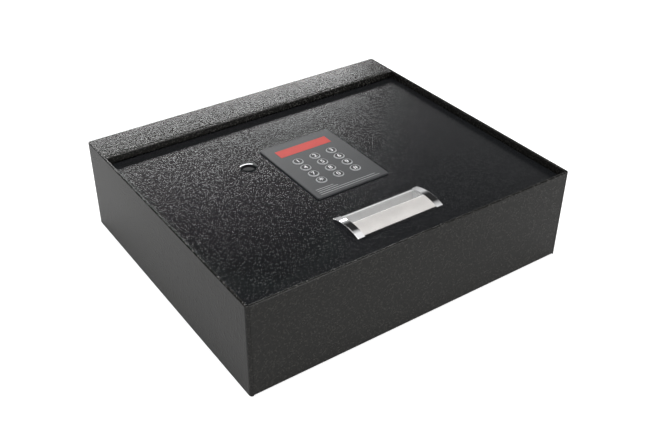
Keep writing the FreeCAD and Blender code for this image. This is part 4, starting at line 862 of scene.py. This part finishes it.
STEEL = WorkedMetal("turned_steel", (0.62, 0.62, 0.62), rough=0.24, line=500.0)
ZINC = WorkedMetal("zinc_plate", (0.58, 0.58, 0.55), rough=0.36, line=90.0)
SATIN = WorkedMetal("satin_steel", (0.96, 0.93, 0.90), 0.34, Axis.X, 420.0, relief=0.006 * MM, metal=0.45)
# The cup's satin is a lighter, less metallic copy of the hood's: painted light that brightens the cup in
# its shaded recess.
LIGHTENED_SATIN_CUP = WorkedMetal("lightened_satin_cup", (0.97, 0.97, 0.97), 0.30, Axis.X, 420.0, relief=0.006 * MM, metal=0.20)
BOX_COAT = PowderCoat("box_coat")
LID_COAT = PowderCoat(
    "lid_coat",
    colour=(0.0095, 0.0102, 0.0115),
    grain_colour=(0.017, 0.018, 0.020),
    grain=1.7 * MM,
    sparse=0.34,
    relief=0.105 * MM,
    rough=0.18,
)
INNER_COAT = Moulded("inner_paint", (0.016, 0.016, 0.017), rough=0.42, grain=0.9 * MM, relief=0.03 * MM)
PRINT = Moulded("key_print", (0.78, 0.79, 0.80), rough=0.55)
RUBBER = Moulded("bumper_rubber", (0.012, 0.012, 0.012), rough=0.72, grain=0.4 * MM, relief=0.02 * MM)


@dataclass
class Box:
    """The folded box: tray, side panels, rear rail and cover, strike and bumpers."""

    shop: Workshop
    weld_count: int = 9
    weld_share: float = 0.86
    weld_size: float = 5.0 * MM
    weld_height: float = 9.0 * MM
    flange: float = 1.5 * MM

    def build(self) -> None:
        """Dresses the sheets and adds the weld marks."""
        sheets = ["base_tray", "side_panel_left", "side_panel_right", "rear_rail", "rear_cover"]
        self.shop.dress(sheets, BOX_COAT)
        self.shop.dress(["strike_channel"], INNER_COAT)
        self.shop.dress(["lid_bumpers"], RUBBER)
        self._welds()

    def _welds(self) -> None:
        """Adds painted spot welds along the tray's flanges, on the face towards the inside."""
        low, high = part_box("base_tray")
        length = (high.y - low.y) * self.weld_share
        tree = MarkTree(Mark.WELD, self.shop.material(BOX_COAT))
        for side, name in ((-1, "left"), (1, "right")):
            turn = Matrix.Rotation(-side * QUARTER, 4, "Y")
            place = Vector((side * (high.x - self.flange), 0.0, self.weld_height))
            grid = Grid(rows=self.weld_count, depth=length, size=self.weld_size)
            mesh = tree.mesh(grid, Matrix.Translation(place) @ turn)
            self.shop.place(f"flange_welds_{name}", mesh, BOX_COAT, "safe", "box_paint")


@dataclass
class Mat:
    """The foam mat on the floor, with rounded corners and a hole over each of the four anchor holes."""

    shop: Workshop
    corner: float = 3.5 * MM
    hole: float = 9.0 * MM
    hole_across: float = 240.0 * MM
    hole_along: float = 200.0 * MM
    edge: float = 0.4 * MM
    edge_steps: int = 2
    corner_steps: int = 6
    hole_steps: int = 32

    def build(self) -> None:
        low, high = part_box("floor_mat")
        curve = bpy.data.curves.new("floor_mat_outline", "CURVE")
        curve.dimensions = "2D"
        curve.fill_mode = "BOTH"
        curve.bevel_depth = self.edge
        curve.bevel_resolution = self.edge_steps
        curve.extrude = (high.z - low.z) / 2 - self.edge
        inset = self.edge + self.corner
        outline = []
        for quarter, (side, end) in enumerate(((1, 1), (-1, 1), (-1, -1), (1, -1))):
            centre = (side * (high.x - inset), end * (high.y - inset))
            outline += arc(centre, self.corner, quarter * QUARTER, QUARTER, self.corner_steps)
        self._loop(curve, outline)
        for side in (-1, 1):
            for end in (-1, 1):
                centre = (side * self.hole_across / 2, end * self.hole_along / 2)
                ring = arc(centre, self.hole + self.edge, 0.0, FULL_TURN, self.hole_steps)
                self._loop(curve, ring[:-1])
        mesh = settled(held(curve), Matrix.Translation((0, 0, (low.z + high.z) / 2)))
        piece = self.shop.place("foam_mat", mesh, FoamSkin("foam_skin"), "safe", "mat_foam")
        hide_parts("floor_mat")

    def _loop(self, curve: bpy.types.Curve, points: Sequence[Point]) -> None:
        """Adds one closed outline.

        Args:
            curve: the curve that it goes into.
            points: its corners.
        """
        spline = curve.splines.new("POLY")
        spline.points.add(len(points) - 1)
        for point, (x, y) in zip(spline.points, points):
            point.co = (x, y, 0.0, 1.0)
        spline.use_cyclic_u = True


@dataclass
class Hinge:
    """Rod, arms, clips, lugs and the two springs, wound in one fixed shape, which does not follow the lid
    as it opens.

    A spring hooks into its arm below the rod, bends up beside it, winds round the rod and ends in a leg
    under the lid.
    """

    shop: Workshop
    wire: float = 0.7 * MM
    turns: float = 4.25
    hook_drop: float = 18.5 * MM
    hook_reach: float = 4.5 * MM
    bend: float = 1.2 * MM
    leg: float = 22.0 * MM
    clip_gap: float = 1.0 * MM
    bend_steps: int = 5
    steps_per_turn: int = 28
    wire_sides: int = 10

    def build(self) -> None:
        """Dresses the hinge and winds the springs."""
        self.shop.dress(["hinge_arm_left", "hinge_arm_right", "lid_lug_left", "lid_lug_right"], INNER_COAT)
        self.shop.dress(["hinge_rod"], STEEL)
        self.shop.dress(["rod_clips"], ZINC)
        for side, sign in (("left", -1), ("right", 1)):
            self._spring(side, sign)

    def _spring(self, side: str, sign: int) -> None:
        """Winds one spring along the rod.

        Args:
            side: left or right.
            sign: -1 for left and 1 for right.
        """
        rod_low, rod_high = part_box("hinge_rod")
        axis = (rod_low + rod_high) / 2
        low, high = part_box(f"torsion_spring_{side}")
        _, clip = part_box("rod_clips")
        start = abs(clip.x) + self.clip_gap + self.wire
        end = max(abs(low.x), abs(high.x)) - self.wire
        radius = high.z - self.wire - axis.z
        hook = axis.z - self.hook_drop
        path = [Vector((sign * (clip.x - self.hook_reach), axis.y + radius, hook))]
        corner = Vector((sign * start, axis.y + radius, hook))
        for across, up in arc((-self.bend, self.bend), self.bend, -QUARTER, QUARTER, self.bend_steps):
            path.append(corner + Vector((sign * across, 0.0, up)))
        steps = int(self.turns * self.steps_per_turn)
        coil = arc((axis.y, axis.z), radius, 0.0, FULL_TURN * self.turns, steps)
        for step, (y, z) in enumerate(coil):
            path.append(Vector((sign * (start + (end - start) * step / steps), y, z)))
        path.append(Vector((sign * end, axis.y - self.leg, axis.z + radius)))
        mesh = tube(f"spring_{side}", path, self.wire, self.wire_sides)
        finish = WorkedMetal("spring_wire", (0.30, 0.30, 0.31), rough=0.30, brushed=Axis.X, line=200.0)
        piece = self.shop.link(f"spring_{side}", mesh, finish)
        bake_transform(piece)
        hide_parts(f"torsion_spring_{side}")


@dataclass
class Lid:
    """The lid plate, the cover below it and the cover's screws."""

    shop: Workshop
    head: float = 3.8 * MM
    recess: float = 3.68 * MM
    sink: float = 0.15 * MM
    middle_row: float = -37.5 * MM

    def build(self) -> None:
        """Dresses the lid and adds dark crosses on the cover's screws, painted shade of their recesses, a
        row of two at a time.
        """
        self.shop.dress(["lid_plate"], LID_COAT)
        self.shop.dress(["mechanism_cover"], INNER_COAT)
        self.shop.dress(["cover_screws", "lock_screws", "handle_nuts"], ZINC)
        low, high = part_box("cover_screws")
        # Dark crosses stand in for the shade inside the screws' cross recesses: painted shade, not cut
        # recesses.
        dark = Moulded("recess_shadow", (0.02, 0.02, 0.02), rough=0.7)
        tree = MarkTree(Mark.CROSS, self.shop.material(dark))
        grid = Grid(columns=2, width=high.x - low.x - 2 * self.head, size=self.recess)
        for number, row in enumerate((low.y + self.head, high.y - self.head, self.middle_row)):
            mesh = tree.mesh(grid, Matrix.Translation(((low.x + high.x) / 2, row, low.z + self.sink)))
            self.shop.place(f"screw_recess_shade_{number}", mesh, dark, "lid", "zinc_steel")


@dataclass
class Keypad:
    """Fascia, window, keys with their numbers, and what lies below them.

    rules gives the printed rules: how far each is from the fascia's front edge and how long it is.
    """

    shop: Workshop
    signs: Mapping[str, str] = field(
        default_factory=lambda: {**{str(n): str(n) for n in range(10)}, "star": "*", "hash": "#"}
    )
    digit_size: float = 8.448 * MM
    star_size: float = 12.48 * MM
    star_drop: float = 1.6 * MM
    stroke: float = 0.06 * MM
    thick: float = 0.03 * MM
    ring: float = 5.05 * MM
    rules: Sequence[Point] = (
        (4.6 * MM, 76.0 * MM),
        (8.0 * MM, 72.0 * MM),
        (11.4 * MM, 26.0 * MM),
        (14.6 * MM, 22.0 * MM),
    )
    rule_inset: float = 7.0 * MM
    rule_width: float = 0.55 * MM
    rule_rise: float = 0.02 * MM
    rule_sink: float = 0.02 * MM

    def build(self) -> None:
        """Dresses the keypad, prints the keys and rules the lower edge."""
        fascia = Moulded("fascia_skin", (0.036, 0.038, 0.041), rough=0.40, grain=1.3 * MM, relief=0.05 * MM)
        self.shop.dress(["keypad_fascia"], fascia)
        self.shop.dress(["display_window"], RedWindow("red_window"))
        self.shop.dress(["display_module"], Moulded("display_black", (0.01, 0.01, 0.01), rough=0.2))
        self.shop.dress(["key_mat"], Moulded("silicone", (0.22, 0.22, 0.23), rough=0.6))
        self.shop.dress(["keypad_board"], Circuit("circuit"))
        one, two, four = (self._centre(name) for name in ("1", "2", "4"))
        face = KeyFace("key_face", two.x - one.x, one.y - four.y, one.y, self.ring)
        self.shop.dress([f"key_{name}" for name in self.signs], face)
        for name in self.signs:
            self._number(name)
        self._rules()

    def _centre(self, name: str) -> Vector:
        """The middle of a key's top."""
        low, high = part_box(f"key_{name}")
        return Vector(((low.x + high.x) / 2, (low.y + high.y) / 2, high.z))

    def _number(self, name: str) -> None:
        """Prints one key.

        Args:
            name: the key's name.
        """
        star = name == "star"
        curve = bpy.data.curves.new(f"number_{name}", "FONT")
        curve.body = self.signs[name]
        curve.size = self.star_size if star else self.digit_size
        curve.align_x = "CENTER"
        curve.align_y = "CENTER"
        curve.offset = self.stroke
        curve.extrude = self.thick
        lift = Vector((0.0, -self.star_drop if star else 0.0, self.thick))
        mesh = settled(held(curve), Matrix.Translation(self._centre(name) + lift))
        self.shop.place(f"number_{name}", mesh, PRINT, f"key_{name}_button", "key_plastic")

    def _rules(self) -> None:
        """Prints plain rules along the front edge of the fascia."""
        low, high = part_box("keypad_fascia")
        left = low.x + self.rule_inset
        top = high.z + self.rule_rise
        bottom = high.z - self.rule_sink
        built = bmesh.new()
        for place, length in self.rules:
            right = left + length
            front = low.y + place
            rear = front + self.rule_width
            outline = [(left, front), (right, front), (right, rear), (left, rear)]
            upper = [built.verts.new((x, y, top)) for x, y in outline]
            lower = [built.verts.new((x, y, bottom)) for x, y in outline]
            built.faces.new(upper)
            built.faces.new(list(reversed(lower)))
            for here in range(4):
                after = (here + 1) % 4
                built.faces.new((lower[here], lower[after], upper[after], upper[here]))
        mesh = bpy.data.meshes.new("fascia_rules")
        built.to_mesh(mesh)
        built.free()
        ink = Moulded("rule_print", (0.46, 0.465, 0.47), rough=0.5)
        self.shop.place("fascia_rules", mesh, ink, "lid", "fascia_plastic")


@dataclass
class Handle:
    """The sunk handle: chrome bezel, satin hood, a cup in a lighter copy of that satin which paints light
    into the shaded recess, and the dimples in the cup's ends.
    """

    shop: Workshop
    dimple: float = 5.0 * MM
    dimple_back: float = 8.5 * MM
    dimple_drop: float = 5.0 * MM
    wall: float = 1.2 * MM

    def build(self) -> None:
        """Dresses the handle and sets a dimple in each end of the cup."""
        self.shop.dress(["handle_bezel"], Chrome("chrome"))
        self.shop.dress(["handle_hood"], SATIN)
        self.shop.dress(["handle_cup"], LIGHTENED_SATIN_CUP)
        _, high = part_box("handle_cup")
        tree = MarkTree(Mark.WELD, self.shop.material(LIGHTENED_SATIN_CUP))
        for side, name in ((-1, "left"), (1, "right")):
            across = side * (high.x - self.wall)
            place = Vector((across, high.y - self.dimple_back, high.z - self.dimple_drop))
            turn = Matrix.Rotation(-side * QUARTER, 4, "Y")
            mesh = tree.mesh(Grid(size=self.dimple), Matrix.Translation(place) @ turn)
            self.shop.place(f"cup_dimple_{name}", mesh, LIGHTENED_SATIN_CUP, "lid", "handle_satin")


@dataclass
class Lock:
    """The plug and the emergency lock below it."""

    shop: Workshop

    def build(self) -> None:
        """Dresses the plug and the lock."""
        gloss = Moulded("plug_gloss", (0.006, 0.006, 0.007), 0.09, 2.0 * MM, relief=0.001 * MM, coat=0.6)
        cast = WorkedMetal("die_cast", (0.50, 0.50, 0.49), rough=0.38, line=60.0)
        brass = WorkedMetal("brass_core", (0.78, 0.60, 0.28), rough=0.26, line=300.0)
        self.shop.dress(["lock_plug"], gloss)
        self.shop.dress(["lock_housing", "lock_cam"], cast)
        self.shop.dress(["lock_core"], brass)


@dataclass
class BoltWork:
    """Carrier, bolts, guides, rack, pinion and motor."""

    shop: Workshop

    def build(self) -> None:
        """Dresses the bolt work."""
        nylon = Moulded("guide_nylon", (0.55, 0.54, 0.50), rough=0.5)
        rack = WorkedMetal("rack_steel", (0.50, 0.50, 0.50), 0.34, Axis.X, 300.0)
        brass = WorkedMetal("pinion_brass", (0.76, 0.60, 0.30), 0.30, Axis.X, 300.0)
        motor = WorkedMetal("motor_steel", (0.60, 0.60, 0.60), 0.28, Axis.X, 150.0)
        self.shop.dress(["bolt_carrier", "motor_bracket"], ZINC)
        self.shop.dress(["lock_bolt_left", "lock_bolt_right", "guide_posts", "output_shaft"], STEEL)
        self.shop.dress(["bolt_guide_left", "bolt_guide_right"], nylon)
        self.shop.dress(["drive_rack"], rack)
        self.shop.dress(["drive_pinion"], brass)
        self.shop.dress(["gear_motor"], motor)


@dataclass
class Power:
    """Battery holder, cells and door."""

    shop: Workshop

    def build(self) -> None:
        """Dresses the battery compartment."""
        skin = Moulded("battery_skin", (0.018, 0.018, 0.019), rough=0.5, grain=0.6 * MM, relief=0.02 * MM)
        self.shop.dress(["battery_holder", "battery_door"], skin)
        low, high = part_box("battery_cells")
        self.shop.dress(["battery_cells"], CellWrap("cell_wrap", low.y, high.y))


@dataclass(frozen=True)
class Softbox:
    """A lamp: its name, where it stands, its width and height, and its power in watts."""

    name: str
    place: Tuple[float, float, float]
    size: Point
    power: float


@dataclass
class Studio:
    """Floor, light and camera.

    walls gives the room's grey from straight below to straight above, as places from 0 to 1 and greys.
    """

    softboxes: Sequence[Softbox] = (
        Softbox("strip_softbox", (0.27, 2.1, 0.94), (2.5, 0.2), 20.5),
        Softbox("top_softbox", (-0.3, -0.3, 2.5), (1.5, 1.2), 22.0),
        Softbox("left_fill", (-2.2, 0.6, 0.9), (1.0, 1.0), 1.0),
        Softbox("front_fill", (0.5, -2.0, 0.55), (1.2, 0.8), 16.0),
    )
    aim: float = 0.05
    walls: Sequence[Point] = (
        (0.0, 0.42),
        (0.40, 0.66),
        (0.48, 0.14),
        (0.55, 0.03),
        (0.75, 0.03),
        (0.82, 0.95),
    )
    white: Colour = (1.0, 1.0, 1.0)
    floor_colour: Colour = (0.64, 0.64, 0.64)
    floor_glow: float = 0.72
    floor_size: float = 30.0
    floor_drop: float = 0.2 * MM
    lens: float = 50.19
    sensor: float = 36.0
    farthest: float = 60.0
    azimuth: float = math.radians(-34.663)
    elevation: float = math.radians(34.404)
    roll: float = math.radians(0.23)
    distance: float = 1.018412
    side_shift: float = 1.528 * MM
    rise_shift: float = -24.216 * MM
    object_height: float = 108.0 * MM

    def build(self) -> None:
        """Sets the stage."""
        self._floor()
        self._world()
        for softbox in self.softboxes:
            self._lamp(softbox)
        self._camera()

    def _seen(self, bench: NodeBench) -> Signal:
        """1 for rays from the camera or through glass, and 0 for the rest."""
        rays = bench.node("ShaderNodeLightPath", {}, {}).outputs
        return Signal(bench, rays["Is Camera Ray"]).largest(Signal(bench, rays["Is Transmission Ray"]))

    def _floor(self) -> None:
        """A plain white floor that keeps the shadow."""
        bpy.ops.mesh.primitive_plane_add(size=self.floor_size, location=(0, 0, -self.floor_drop))
        floor = bpy.context.object
        floor.name = "floor"
        r = Recipe("floor_white")
        plain = r.node("ShaderNodeBsdfDiffuse", {}, {"Color": self.floor_colour})
        strength = self._seen(r) * self.floor_glow
        glow = r.node("ShaderNodeEmission", {}, {"Color": self.white, "Strength": strength})
        both = r.node("ShaderNodeAddShader", {}, {0: plain.outputs[0], 1: glow.outputs[0]})
        r.feed(r.output.inputs["Surface"], both.outputs[0])
        floor.data.materials.append(r.material)

    def _world(self) -> None:
        """A white room with a darker band at mid height, so that bright metal has something to show."""
        world = bpy.data.worlds.new("studio")
        bpy.context.scene.world = world
        world.use_nodes = True
        room = NodeBench(world.node_tree)
        place = room.node("ShaderNodeTexCoord", {}, {}).outputs["Generated"]
        height = room.node("ShaderNodeSeparateXYZ", {}, {0: place}).outputs[2]
        grey = room.node("ShaderNodeValToRGB", {"stops": self.walls}, {0: height}).outputs[0]
        around = room.node("ShaderNodeBackground", {}, {"Color": grey}).outputs[0]
        white = room.node("ShaderNodeBackground", {}, {"Color": self.white}).outputs[0]
        both = room.node("ShaderNodeMixShader", {}, {0: self._seen(room), 1: around, 2: white})
        room.node("ShaderNodeOutputWorld", {}, {"Surface": both.outputs[0]})

    def _lamp(self, softbox: Softbox) -> None:
        """Adds a softbox that faces the safe.

        Args:
            softbox: the lamp.
        """
        data = bpy.data.lights.new(softbox.name, "AREA")
        data.shape = "RECTANGLE"
        data.size, data.size_y = softbox.size
        data.energy = softbox.power
        lamp = bpy.data.objects.new(softbox.name, data)
        lamp.location = softbox.place
        ahead = Vector((0, 0, self.aim)) - Vector(softbox.place)
        lamp.rotation_euler = ahead.to_track_quat("-Z", "Y").to_euler()
        bpy.context.scene.collection.objects.link(lamp)

    def _camera(self) -> None:
        """Puts the camera at the front left, looking down on the lid."""
        around, up_by, roll = self.azimuth, self.elevation, self.roll
        level = math.cos(up_by)
        back = Vector((math.sin(around) * level, -math.cos(around) * level, math.sin(up_by)))
        right = (-back).cross(Vector((0, 0, 1))).normalized()
        up = right.cross(-back)
        side = right * math.cos(roll) + up * math.sin(roll)
        rise = up * math.cos(roll) - right * math.sin(roll)
        place = back * self.distance + side * self.side_shift + rise * self.rise_shift
        place += Vector((0, 0, self.object_height / 2))
        data = bpy.data.cameras.new("camera")
        data.lens = self.lens
        data.sensor_width = self.sensor
        data.clip_end = self.farthest
        camera = bpy.data.objects.new("camera", data)
        turn = Matrix((side, rise, back)).transposed().to_4x4()
        camera.matrix_world = Matrix.Translation(place) @ turn
        bpy.context.scene.collection.objects.link(camera)
        bpy.context.scene.camera = camera
        bpy.context.scene.view_settings.view_transform = "Standard"


def main() -> None:
    """Builds the safe's looks, sub-assembly by sub-assembly."""
    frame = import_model()
    shop = Workshop(frame)
    for kind in (Box, Mat, Hinge, Lid, Keypad, Handle, Lock, BoltWork, Power):
        kind(shop).build()
        LOG.info("built %s", kind.__name__)
    Studio().build()


if __name__ == "__main__":
    main()
